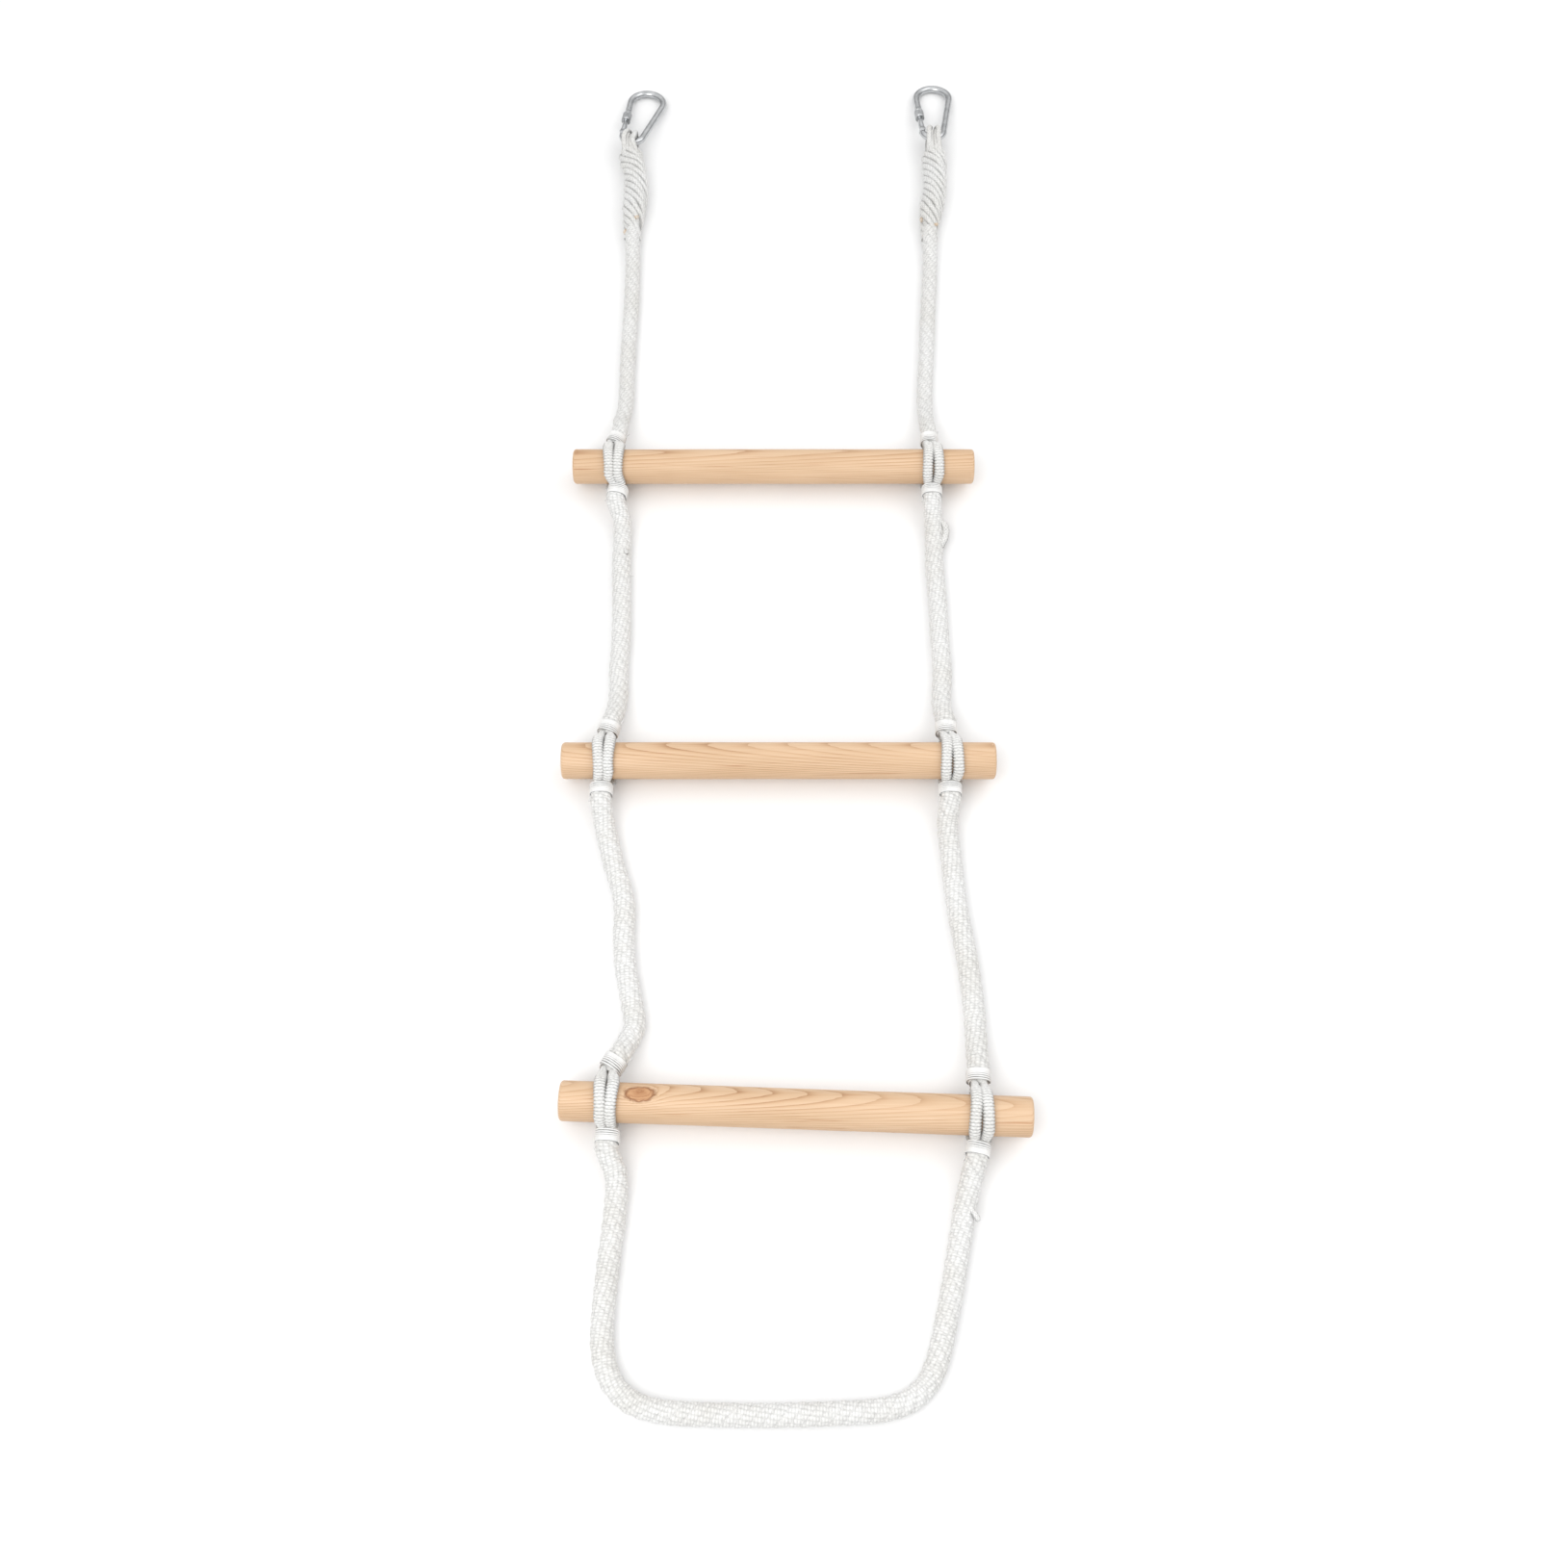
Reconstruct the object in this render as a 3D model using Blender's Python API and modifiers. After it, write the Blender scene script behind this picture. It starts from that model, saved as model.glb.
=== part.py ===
"""Rope escape ladder lying flat: three wooden rungs lashed into one four-strand rope.

+X runs along the rungs, +Y towards the two carabiners, +Z up. The origin is the middle of
the footprint, on the floor. All lengths are in metres.
"""
import math

import bmesh
import bpy
from mathutils import Matrix, Vector

# Driving dimensions
GAP = 0.0003                 # clearance between pieces that touch
RUNG_LENGTH = 0.410
RUNG_RADIUS = 0.0175
RUNG_EDGE = 0.003            # rounding of the rung's end edges
RUNG_PITCH = 0.340           # from rung axis to rung axis
CORD_THICKNESS = 0.008       # braided cords where they press round a rung
CORDS_HALF_WIDTH = 0.009     # two cords side by side
LEG_DIAMETER = 0.0165
UPPER_SPAN_DIAMETER = 0.0190
LOWER_SPAN_DIAMETER = 0.0200
LOOP_DIAMETER = 0.0200
WHIPPING_WALL = 0.0013
WHIPPING_Z = 0.022           # the rope's axis where a whipping grips it
ABOVE_NEAR = 0.030           # whippings, from the rung's axis along the rope
ABOVE_FAR = 0.042
BELOW_NEAR = 0.024
BELOW_FAR = 0.036
RUNG_Z = CORD_THICKNESS + GAP + RUNG_RADIUS

MIDDLE_RUNG_Y = -0.147
RUNGS = {                    # rung centre x, y and turn about Z
    "upper": (-0.0107, MIDDLE_RUNG_Y + RUNG_PITCH, 0.0),
    "middle": (-0.0050, MIDDLE_RUNG_Y, 0.0),
    "lower": (0.0102, MIDDLE_RUNG_Y - RUNG_PITCH, math.radians(-2.06)),
}
CROSSINGS = {                # x of the whipping above, of the cords and of the whipping below
    ("left", "upper"): (-0.1740, -0.1735, -0.1700),
    ("right", "upper"): (0.1505, 0.1520, 0.1510),
    ("left", "middle"): (-0.1675, -0.1695, -0.1720),
    ("right", "middle"): (0.1550, 0.1580, 0.1565),
    ("left", "lower"): (-0.1510, -0.1535, -0.1515),
    ("right", "lower"): (0.1690, 0.1700, 0.1680),
}

LEG_FOLD_Y = 0.450           # where the rope's separate halves meet at a fold
UPPER_FOLD_Y = 0.023
LOWER_FOLD_Y = -0.317
LOOP_FOLD_Y = -0.545
STRAIGHT_END = 0.004

# Carabiner, in its own frame: origin at the wire's centre at the narrow bow, y to the wide bow
WIRE_RADIUS = 0.0039
NARROW_BOW = 0.012           # centreline radii of the two bows
WIDE_BOW = 0.019
CENTRELINE_LENGTH = 0.0922   # 100 mm over all
CARABINERS = {               # x and y of the narrow bow, and turn about Z
    "left": (-0.1750, 0.6490, math.radians(-13.0)),
    "right": (0.1698, 0.6552, math.radians(-2.0)),
}
BOW_Z = 0.0185

# Places along the gate's line, from the narrow bow's tangent point
WIRE_START = -0.0022
PIN_AT = 0.0020
SHANK_START = 0.0030
BORE_START = 0.0050
PLUNGER_START = 0.0058
PLUNGER_END = 0.0100
SPRING_START = 0.0107
SPRING_END = 0.0171
BORE_END = 0.0178
THREAD_START = 0.0243
SLEEVE_START = 0.0245
NOSE_LOW = 0.0384
NOSE_HEAD_AT = 0.0396
GATE_END = 0.0423
NOSE_START = 0.0428
NOSE_HIGH = 0.0458
FORK_SLOT = (-0.0030, 0.0066)
NOSE_SLOT = (0.0377, 0.0433)
NOSE_CHANNEL = (0.0379, 0.0413)

GATE_SHANK_RADIUS = 0.0031
GATE_THREAD_RADIUS = 0.0039
EAR_RADIUS = 0.0036
EAR_HEIGHT = 0.0074
TANG_THICKNESS = 0.0030
TANG_RADIUS = 0.0034
TANG_WIDTH = 0.0058
TANG_NECK = 0.0065
NOSE_WIDTH = 0.0040
NOSE_HEAD_RADIUS = 0.0012
NOSE_HEAD_HALF = 0.0027
SLOT_HALF = 0.0018
CHANNEL_HALF = 0.0030
SLOT_ACROSS = 0.0120         # long enough to cut right through the gate
PIN_RADIUS = 0.0011
PIN_RECESS = 0.0002          # the pin's ends lie this far below the ears
PIN_HOLE_RADIUS = 0.0014
HOLE_REACH = 0.0060
BORE_RADIUS = 0.0020
PLUNGER_RADIUS = 0.0016
SPRING_RADIUS = 0.0014
SPRING_WIRE = 0.0003
SPRING_COILS = 5
SLEEVE_LENGTH = 0.0130
SLEEVE_RADIUS = 0.0053
SLEEVE_BORE = 0.00425
SLEEVE_CHAMFER = 0.0008

EYE_CORD_RADIUS = 0.0067     # the bunched cords that pass round the bow
EYE_BEND = 0.0111
EYE_FOOT_Z = 0.0217          # where the cords leave the splice
EYE_FOOT_RUN = 0.003
EYE_STRAIGHT = 0.0085        # from the bow to where the cords start to spread to the splice
EYE_DIP = 0.0013
SPLICE_START_Y = 0.5120
SPLICE_END_Y = 0.6270
SPLICE_THIN = 0.0105         # radii of the spliced rope at its start and further up
SPLICE_THICK = 0.0143
SPLICE_SWELL = 0.035
SPLICE_SPACING = 0.016
SPLICES = {                  # x and y along each spliced length
    "left": [
        (-0.1680, SPLICE_START_Y), (-0.1680, 0.5400), (-0.1660, 0.5800),
        (-0.1685, 0.6080), (-0.1735, SPLICE_END_Y),
    ],
    "right": [
        (0.1615, SPLICE_START_Y), (0.1625, 0.5400), (0.1685, 0.5800),
        (0.1700, 0.6080), (0.1700, SPLICE_END_Y),
    ],
}


def clear_scene():
    for obj in list(bpy.data.objects):
        bpy.data.objects.remove(obj, do_unlink=True)


def new_collection(name):
    collection = bpy.data.collections.new(name)
    bpy.context.scene.collection.children.link(collection)
    return collection


def new_material(name, colour, roughness, metallic=0.0):
    material = bpy.data.materials.new(name)
    material.use_nodes = True
    shader = material.node_tree.nodes["Principled BSDF"]
    shader.inputs["Base Color"].default_value = (*colour, 1.0)
    shader.inputs["Roughness"].default_value = roughness
    shader.inputs["Metallic"].default_value = metallic
    return material


def add_object(name, data, material, collection, parent=None):
    obj = bpy.data.objects.new(name, data)
    if material:
        data.materials.append(material)
    collection.objects.link(obj)
    obj.parent = parent
    return obj


def add_guide(name, data, parent=None):
    """A shape that cuts or joins another and is never part of the ladder itself."""
    obj = add_object(name, data, None, guides, parent)
    obj.hide_render = True
    obj.display_type = "WIRE"
    return obj


def add_boolean(obj, operation, other):
    modifier = obj.modifiers.new(other.name, "BOOLEAN")
    modifier.operation = operation
    modifier.object = other
    modifier.solver = "EXACT"


def shade_round(mesh):
    mesh.shade_smooth()
    mesh.set_sharp_from_angle(angle=math.radians(40))


def rod_mesh(name, start, end, radius, sides):
    """A cylinder from start to end."""
    start, end = Vector(start), Vector(end)
    run = end - start
    turn = run.to_track_quat("Z", "Y").to_matrix().to_4x4()
    place = Matrix.Translation((start + end) / 2) @ turn
    bm = bmesh.new()
    bmesh.ops.create_cone(
        bm, cap_ends=True, segments=sides, radius1=radius, radius2=radius,
        depth=run.length, matrix=place,
    )
    mesh = bpy.data.meshes.new(name)
    bm.to_mesh(mesh)
    bm.free()
    shade_round(mesh)
    return mesh


def box_mesh(name, centre, size, turn):
    """A box turned about Z."""
    place = Matrix.Translation(centre) @ Matrix.Rotation(turn, 4, "Z")
    place = place @ Matrix.Diagonal((*size, 1.0))
    bm = bmesh.new()
    bmesh.ops.create_cube(bm, size=1.0, matrix=place)
    mesh = bpy.data.meshes.new(name)
    bm.to_mesh(mesh)
    bm.free()
    return mesh


def tube_curve(name, points, radius, sides_setting, radii=None):
    """A round tube along the points, closed at both ends."""
    curve = bpy.data.curves.new(name, "CURVE")
    curve.dimensions = "3D"
    curve.bevel_depth = radius
    curve.bevel_resolution = sides_setting
    curve.use_fill_caps = True
    spline = curve.splines.new("POLY")
    spline.points.add(len(points) - 1)
    for index, point in enumerate(points):
        spline.points[index].co = (*point, 1.0)
        if radii:
            spline.points[index].radius = radii[index] / radius
    return curve


def smooth_route(route, spacing):
    """Points about a spacing apart on the smooth curve through the route's own points."""
    route = [Vector(point) for point in route]
    ends = [2 * route[0] - route[1]] + route + [2 * route[-1] - route[-2]]
    points = []
    for before, here, there, after in zip(ends, ends[1:], ends[2:], ends[3:]):
        chord = (there - here).length
        start_slope = (there - before) * chord / ((here - before).length + chord)
        end_slope = (after - here) * chord / (chord + (after - there).length)
        steps = max(1, round(chord / spacing))
        for step in range(steps):
            t = step / steps
            points.append(
                here * (2 * t**3 - 3 * t**2 + 1) + start_slope * (t**3 - 2 * t**2 + t)
                + there * (3 * t**2 - 2 * t**3) + end_slope * (t**3 - t**2)
            )
    points.append(route[-1])
    return points


def rope(name, route, diameter):
    """A length of rope, with a point every 2.4 diameters or so."""
    points = smooth_route(route, 2.4 * diameter)
    return add_object(name, tube_curve(name, points, diameter / 2, 3), rope_white, ladder)


def on_rung(level, x, along):
    """A point above or below a rung's axis, square to the rung, at the whippings' height."""
    centre_x, centre_y, turn = RUNGS[level]
    y = centre_y + (x - centre_x) * math.tan(turn) + along
    return Vector((x - along * math.sin(turn), y, WHIPPING_Z))


def gripped(side, level, above, past=0.003):
    """The rope's straight run through a whipping, from the end by the rung to a little past it."""
    x_above, _, x_below = CROSSINGS[side, level]
    if above:
        return [on_rung(level, x_above, ABOVE_NEAR), on_rung(level, x_above, ABOVE_FAR + past)]
    return [on_rung(level, x_below, -BELOW_NEAR), on_rung(level, x_below, -BELOW_FAR - past)]


def rung(level):
    """A round dowel with rounded ends, turned from a profile that runs down its outer side."""
    centre_x, centre_y, turn = RUNGS[level]
    half = RUNG_LENGTH / 2
    corner = [math.radians(angle) for angle in (0, 30, 60, 90)]
    profile = [(0.0, half)]
    for angle in corner:
        out = RUNG_RADIUS - RUNG_EDGE + RUNG_EDGE * math.sin(angle)
        profile.append((out, half - RUNG_EDGE + RUNG_EDGE * math.cos(angle)))
    profile += [(x, -z) for x, z in reversed(profile)]
    obj = turned(f"{level}_rung", profile, 24, wood, ladder)
    obj.location = (centre_x, centre_y, RUNG_Z)
    obj.rotation_euler = (0.0, math.pi / 2, turn)


def turned(name, profile, steps, material, collection, parent=None):
    """A profile of (radius, height) points turned about Z."""
    bm = bmesh.new()
    corners = [bm.verts.new((x, 0.0, z)) for x, z in profile]
    closed = profile[0][0] > 0.0
    for first, second in zip(corners, corners[1:] + corners[:1] if closed else corners[1:]):
        bm.edges.new((first, second))
    mesh = bpy.data.meshes.new(name)
    bm.to_mesh(mesh)
    bm.free()
    obj = add_object(name, mesh, material, collection, parent)
    screw = obj.modifiers.new("Turn", "SCREW")
    screw.steps = steps
    screw.render_steps = steps
    screw.use_merge_vertices = True
    screw.merge_threshold = 0.00001
    screw.use_smooth_shade = True
    return obj


def whipping(side, level, above):
    """A ring of wound thread round the rope, close to the rung."""
    near, far = gripped(side, level, above, past=0.0)
    diameter = LEG_DIAMETER
    if level == "upper" and not above or level == "middle" and above:
        diameter = UPPER_SPAN_DIAMETER
    elif not (level == "upper" and above):
        diameter = LOWER_SPAN_DIAMETER
    inner = diameter / 2 + GAP
    outer = inner + WHIPPING_WALL
    half = (far - near).length / 2
    profile = [(outer, half), (outer, -half), (inner, -half), (inner, half)]
    where = "above" if above else "below"
    obj = turned(f"{side}_{level}_whipping_{where}", profile, 24, thread_white, ladder)
    obj.location = (near + far) / 2
    obj.rotation_euler = (math.pi / 2, 0.0, RUNGS[level][2])


def arc_points(radius, start, end, count):
    """Points on an arc about the origin, both ends included, angles in degrees."""
    angles = [math.radians(start + (end - start) * step / count) for step in range(count + 1)]
    return [(radius * math.cos(angle), radius * math.sin(angle)) for angle in angles]


def rim_angle(face, rim, radius, way):
    """Where the cords' outer arc starts, in degrees.

    That is on the tangent from a whipping's rim, or at the whipping's face if the rim is inside.
    """
    reach = math.hypot(face, rim)
    if reach > radius:
        turn = math.degrees(math.acos(radius / reach))
        return math.degrees(math.atan2(rim, face)) + (turn if (face > 0) == (way > 0) else -turn)
    return way * math.degrees(math.acos(face / radius))


def saddle_outline(front):
    """Side view of the cords over (or under) a rung, between its two whippings.

    Measured from the rung's axis, with the first coordinate along the rope.
    """
    inner = RUNG_RADIUS + GAP
    outer = RUNG_RADIUS + CORD_THICKNESS
    way = 1 if front else -1
    split = WHIPPING_Z - RUNG_Z + way * GAP / 2
    rim = split + way * CORD_THICKNESS
    above, below = ABOVE_NEAR - GAP, -BELOW_NEAR + GAP
    start = rim_angle(above, rim, outer, way)
    end = rim_angle(below, rim, outer, way)
    outline = [(above, split), (above, rim)] + arc_points(outer, start, end, 12) + [(below, split)]
    base = math.degrees(math.asin(split / inner))
    far_base = 180 - base if front else -180 - base
    return outline + arc_points(inner, far_base, base, 14)


def saddle(side, level, front):
    """Two braided cords side by side, pressed round one face of the rung."""
    name = f"{side}_{level}_{'front' if front else 'back'}_cords"
    outline = saddle_outline(front)
    curve = bpy.data.curves.new(name, "CURVE")
    curve.dimensions = "2D"
    curve.fill_mode = "BOTH"
    curve.extrude = CORDS_HALF_WIDTH
    spline = curve.splines.new("POLY")
    spline.use_cyclic_u = True
    spline.points.add(len(outline) - 1)
    for point, (along, height) in zip(spline.points, outline):
        point.co = (along, height, 0.0, 1.0)
    obj = add_object(name, curve, rope_white, ladder)
    x = CROSSINGS[side, level][1]
    place = on_rung(level, x, 0.0)
    obj.location = (place.x, place.y, RUNG_Z)
    obj.rotation_euler = (math.pi / 2, 0.0, math.pi / 2 + RUNGS[level][2])


def square_end(route, y, way):
    """Ends a route at y, square to Y, after a short straight run that way along Y."""
    end = Vector(route[-1])
    end.y = y
    return route[:-1] + [end - Vector((0.0, way * STRAIGHT_END, 0.0)), end]


def meet(route, y, lower):
    """Ends a route square at a fold, leaving half the gap to the other half."""
    way = -1 if lower else 1
    return square_end(route, y - way * GAP / 2, way)


def left_ropes():
    r = LEG_DIAMETER / 2
    rope("left_leg_lower_half", meet(gripped("left", "upper", True) + [
        (-0.1705, 0.2560, 0.0165), (-0.1675, 0.2760, 0.0105), (-0.1670, 0.3000, r),
        (-0.1670, 0.3600, r), (-0.1660, 0.4160, r), (-0.1660, LEG_FOLD_Y, r),
    ], LEG_FOLD_Y, False), LEG_DIAMETER)
    upper = square_end([
        (-0.1660, LEG_FOLD_Y, r), (-0.1665, 0.4750, 0.0084), (-0.1672, 0.4930, 0.0098),
        (-0.1680, SPLICE_START_Y, 0.0115),
    ], SPLICE_START_Y - GAP, 1)
    rope("left_leg_upper_half", meet(upper[::-1], LEG_FOLD_Y, True), LEG_DIAMETER)
    r = UPPER_SPAN_DIAMETER / 2
    rope("left_upper_span_top_half", meet(gripped("left", "upper", False) + [
        (-0.1650, 0.1350, 0.0145), (-0.1640, 0.1100, r), (-0.1640, 0.0850, r),
        (-0.1625, 0.0500, r), (-0.1615, UPPER_FOLD_Y, r),
    ], UPPER_FOLD_Y, True), UPPER_SPAN_DIAMETER)
    rope("left_upper_span_bottom_half", meet(gripped("left", "middle", True) + [
        (-0.1620, -0.0840, 0.0150), (-0.1610, -0.0600, r), (-0.1620, -0.0400, r),
        (-0.1610, -0.0100, r), (-0.1615, UPPER_FOLD_Y, r),
    ], UPPER_FOLD_Y, False), UPPER_SPAN_DIAMETER)
    r = LOWER_SPAN_DIAMETER / 2
    rope("left_lower_span_top_half", meet(gripped("left", "middle", False) + [
        (-0.1680, -0.2100, 0.0125), (-0.1580, -0.2490, r), (-0.1500, -0.2740, r),
        (-0.1465, -0.2950, r), (-0.1465, LOWER_FOLD_Y, r),
    ], LOWER_FOLD_Y, True), LOWER_SPAN_DIAMETER)
    rope("left_lower_span_bottom_half", meet(gripped("left", "lower", True) + [
        (-0.1400, -0.4250, 0.0160), (-0.1335, -0.4080, 0.0115), (-0.1365, -0.3860, r),
        (-0.1440, -0.3480, r), (-0.1465, LOWER_FOLD_Y, r),
    ], LOWER_FOLD_Y, False), LOWER_SPAN_DIAMETER)
    rope("left_loop_tail", meet(gripped("left", "lower", False) + [
        (-0.1440, LOOP_FOLD_Y, 0.0145),
    ], LOOP_FOLD_Y, True), LOOP_DIAMETER)


def right_ropes():
    r = LEG_DIAMETER / 2
    rope("right_leg_lower_half", meet(gripped("right", "upper", True) + [
        (0.1490, 0.2560, 0.0160), (0.1485, 0.2760, 0.0105), (0.1490, 0.3000, r),
        (0.1530, 0.3600, r), (0.1565, 0.4160, r), (0.1590, LEG_FOLD_Y, r),
    ], LEG_FOLD_Y, False), LEG_DIAMETER)
    upper = square_end([
        (0.1590, LEG_FOLD_Y, r), (0.1605, 0.4750, 0.0084), (0.1612, 0.4930, 0.0098),
        (0.1615, SPLICE_START_Y, 0.0115),
    ], SPLICE_START_Y - GAP, 1)
    rope("right_leg_upper_half", meet(upper[::-1], LEG_FOLD_Y, True), LEG_DIAMETER)
    r = UPPER_SPAN_DIAMETER / 2
    rope("right_upper_span_top_half", meet(gripped("right", "upper", False) + [
        (0.1520, 0.1350, 0.0145), (0.1525, 0.1100, r), (0.1515, 0.0850, r),
        (0.1530, 0.0500, r), (0.1535, UPPER_FOLD_Y, r),
    ], UPPER_FOLD_Y, True), UPPER_SPAN_DIAMETER)
    rope("right_upper_span_bottom_half", meet(gripped("right", "middle", True) + [
        (0.1525, -0.0840, 0.0150), (0.1535, -0.0600, r), (0.1550, -0.0400, r),
        (0.1540, -0.0100, r), (0.1535, UPPER_FOLD_Y, r),
    ], UPPER_FOLD_Y, False), UPPER_SPAN_DIAMETER)
    r = LOWER_SPAN_DIAMETER / 2
    rope("right_lower_span_top_half", meet(gripped("right", "middle", False) + [
        (0.1535, -0.2080, 0.0130), (0.1560, -0.2440, r), (0.1580, -0.2740, r),
        (0.1600, -0.2980, r), (0.1630, LOWER_FOLD_Y, r),
    ], LOWER_FOLD_Y, True), LOWER_SPAN_DIAMETER)
    rope("right_lower_span_bottom_half", meet(gripped("right", "lower", True) + [
        (0.1705, -0.4280, 0.0150), (0.1710, -0.4040, 0.0105), (0.1700, -0.3820, r),
        (0.1670, -0.3480, r), (0.1630, LOWER_FOLD_Y, r),
    ], LOWER_FOLD_Y, False), LOWER_SPAN_DIAMETER)
    rope("right_loop_tail", meet(gripped("right", "lower", False) + [
        (0.1610, LOOP_FOLD_Y, 0.0170),
    ], LOOP_FOLD_Y, True), LOOP_DIAMETER)


def bottom_loop():
    """The rope's one length below the lowest rung, from its left side round to its right."""
    r = LOOP_DIAMETER / 2
    route = [
        (-0.1440, LOOP_FOLD_Y, 0.0145), (-0.1445, -0.5740, r), (-0.1485, -0.6200, r),
        (-0.1510, -0.6600, r), (-0.1500, -0.6900, r), (-0.1410, -0.7150, r),
        (-0.1240, -0.7300, r), (-0.1000, -0.7370, r), (-0.0600, -0.7395, r),
        (-0.0100, -0.7400, r), (0.0400, -0.7385, r), (0.0780, -0.7360, r),
        (0.1020, -0.7290, r), (0.1180, -0.7150, r), (0.1270, -0.6960, r),
        (0.1340, -0.6700, r), (0.1410, -0.6400, r), (0.1480, -0.6050, r),
        (0.1540, -0.5740, 0.0110), (0.1610, LOOP_FOLD_Y, 0.0170),
    ]
    route = meet(route, LOOP_FOLD_Y, False)
    rope("bottom_loop", meet(route[::-1], LOOP_FOLD_Y, False), LOOP_DIAMETER)


def splice(side):
    """The rope's own cords tucked back through it, which doubles its thickness."""
    name = f"{side}_splice"
    route = [(x, y, 0.0) for x, y in SPLICES[side]]
    route = square_end(square_end(route, SPLICE_END_Y, 1)[::-1], SPLICE_START_Y, -1)[::-1]
    points = smooth_route(route, SPLICE_SPACING)
    radii = []
    for point in points:
        share = (point.y - SPLICE_START_Y - STRAIGHT_END) / SPLICE_SWELL
        radii.append(SPLICE_THIN + (SPLICE_THICK - SPLICE_THIN) * max(0.0, min(1.0, share)))
        point.z = radii[-1]
    add_object(name, tube_curve(name, points, radii[0], 4, radii), rope_white, ladder)


def rope_eye(side):
    """The bunched cords that leave the splice and pass round the bow, in the bow's own plane."""
    x, y, turn = CARABINERS[side]

    def beside_bow(along, height):
        return Vector((x - along * math.sin(turn), y + along * math.cos(turn), height))

    foot_x = SPLICES[side][-1][0]
    foot_y = SPLICE_END_Y + GAP
    high, low = BOW_Z + EYE_BEND, BOW_Z - EYE_BEND
    points = [
        Vector((foot_x, foot_y, EYE_FOOT_Z)),
        Vector((foot_x, foot_y + EYE_FOOT_RUN, EYE_FOOT_Z)),
        beside_bow(-EYE_STRAIGHT, high - EYE_DIP),
    ]
    for step in range(9):
        angle = math.pi / 2 - math.pi * step / 8
        points.append(beside_bow(EYE_BEND * math.cos(angle), BOW_Z + EYE_BEND * math.sin(angle)))
    points += [
        beside_bow(-EYE_STRAIGHT, low),
        Vector((foot_x, foot_y + EYE_FOOT_RUN, low)),
        Vector((foot_x, foot_y, low)),
    ]
    name = f"{side}_rope_eye"
    add_object(name, tube_curve(name, points, EYE_CORD_RADIUS, 4), rope_white, ladder)


def gate_line():
    """Start and direction of the gate's straight side, in the carabiner's frame."""
    lean = math.asin((WIDE_BOW - NARROW_BOW) / (CENTRELINE_LENGTH - NARROW_BOW - WIDE_BOW))
    square = Vector((-math.cos(lean), -math.sin(lean), 0.0))
    start = Vector((0.0, NARROW_BOW, 0.0)) + NARROW_BOW * square
    return start, Vector((-math.sin(lean), math.cos(lean), 0.0)), lean


def frame_points():
    """The wire's centreline, from the gate's hinge round the narrow bow to the nose."""
    start, along, lean = gate_line()
    points = []
    first = math.pi + lean - WIRE_START / NARROW_BOW
    last = 2 * math.pi - lean
    bows = (
        (NARROW_BOW, NARROW_BOW, first, last, 10),
        (WIDE_BOW, CENTRELINE_LENGTH - WIDE_BOW, -lean, math.pi + lean, 12),
    )
    for radius, centre, angle_from, angle_to, count in bows:
        for step in range(count + 1):
            angle = angle_from + (angle_to - angle_from) * step / count
            x, y = radius * math.cos(angle), centre + radius * math.sin(angle)
            points.append(Vector((x, y, 0.0)))
    points.append(start + along * NOSE_START)
    return points


def carabiner_frame(side, parent):
    start, along, lean = gate_line()
    name = f"{side}_carabiner_frame"
    wire = bpy.data.objects.new(name, tube_curve(name, frame_points(), WIRE_RADIUS, 4))
    ladder.objects.link(wire)
    bpy.context.view_layer.update()
    mesh = bpy.data.meshes.new_from_object(wire.evaluated_get(bpy.context.evaluated_depsgraph_get()))
    bpy.data.objects.remove(wire, do_unlink=True)
    bm = bmesh.new()
    bm.from_mesh(mesh)
    bmesh.ops.remove_doubles(bm, verts=bm.verts, dist=0.00001)
    bm.to_mesh(mesh)
    bm.free()
    shade_round(mesh)
    obj = add_object(name, mesh, steel, ladder, parent)
    pin = start + along * PIN_AT
    half = Vector((0.0, 0.0, TANG_THICKNESS / 2))
    boss = rod_mesh("hinge_tang_end", pin - half, pin + half, TANG_RADIUS, 20)
    add_boolean(obj, "UNION", add_guide(f"{side}_hinge_tang_end", boss, parent))
    size = (TANG_WIDTH, TANG_NECK, TANG_THICKNESS)
    neck = box_mesh("hinge_tang", pin - along * (TANG_NECK / 2), size, lean)
    add_boolean(obj, "UNION", add_guide(f"{side}_hinge_tang", neck, parent))
    size = (NOSE_WIDTH, NOSE_HIGH - NOSE_LOW, TANG_THICKNESS)
    nose = box_mesh("nose_tang", start + along * (NOSE_LOW + NOSE_HIGH) / 2, size, lean)
    add_boolean(obj, "UNION", add_guide(f"{side}_nose_tang", nose, parent))
    head_at = start + along * NOSE_HEAD_AT
    head_half = Vector((0.0, 0.0, NOSE_HEAD_HALF))
    head = rod_mesh("nose_head", head_at - head_half, head_at + head_half, NOSE_HEAD_RADIUS, 12)
    add_boolean(obj, "UNION", add_guide(f"{side}_nose_head", head, parent))
    reach = Vector((0.0, 0.0, HOLE_REACH))
    hole = rod_mesh("pin_hole", pin - reach, pin + reach, PIN_HOLE_RADIUS, 16)
    add_boolean(obj, "DIFFERENCE", add_guide(f"{side}_tang_pin_hole", hole, parent))


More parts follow.
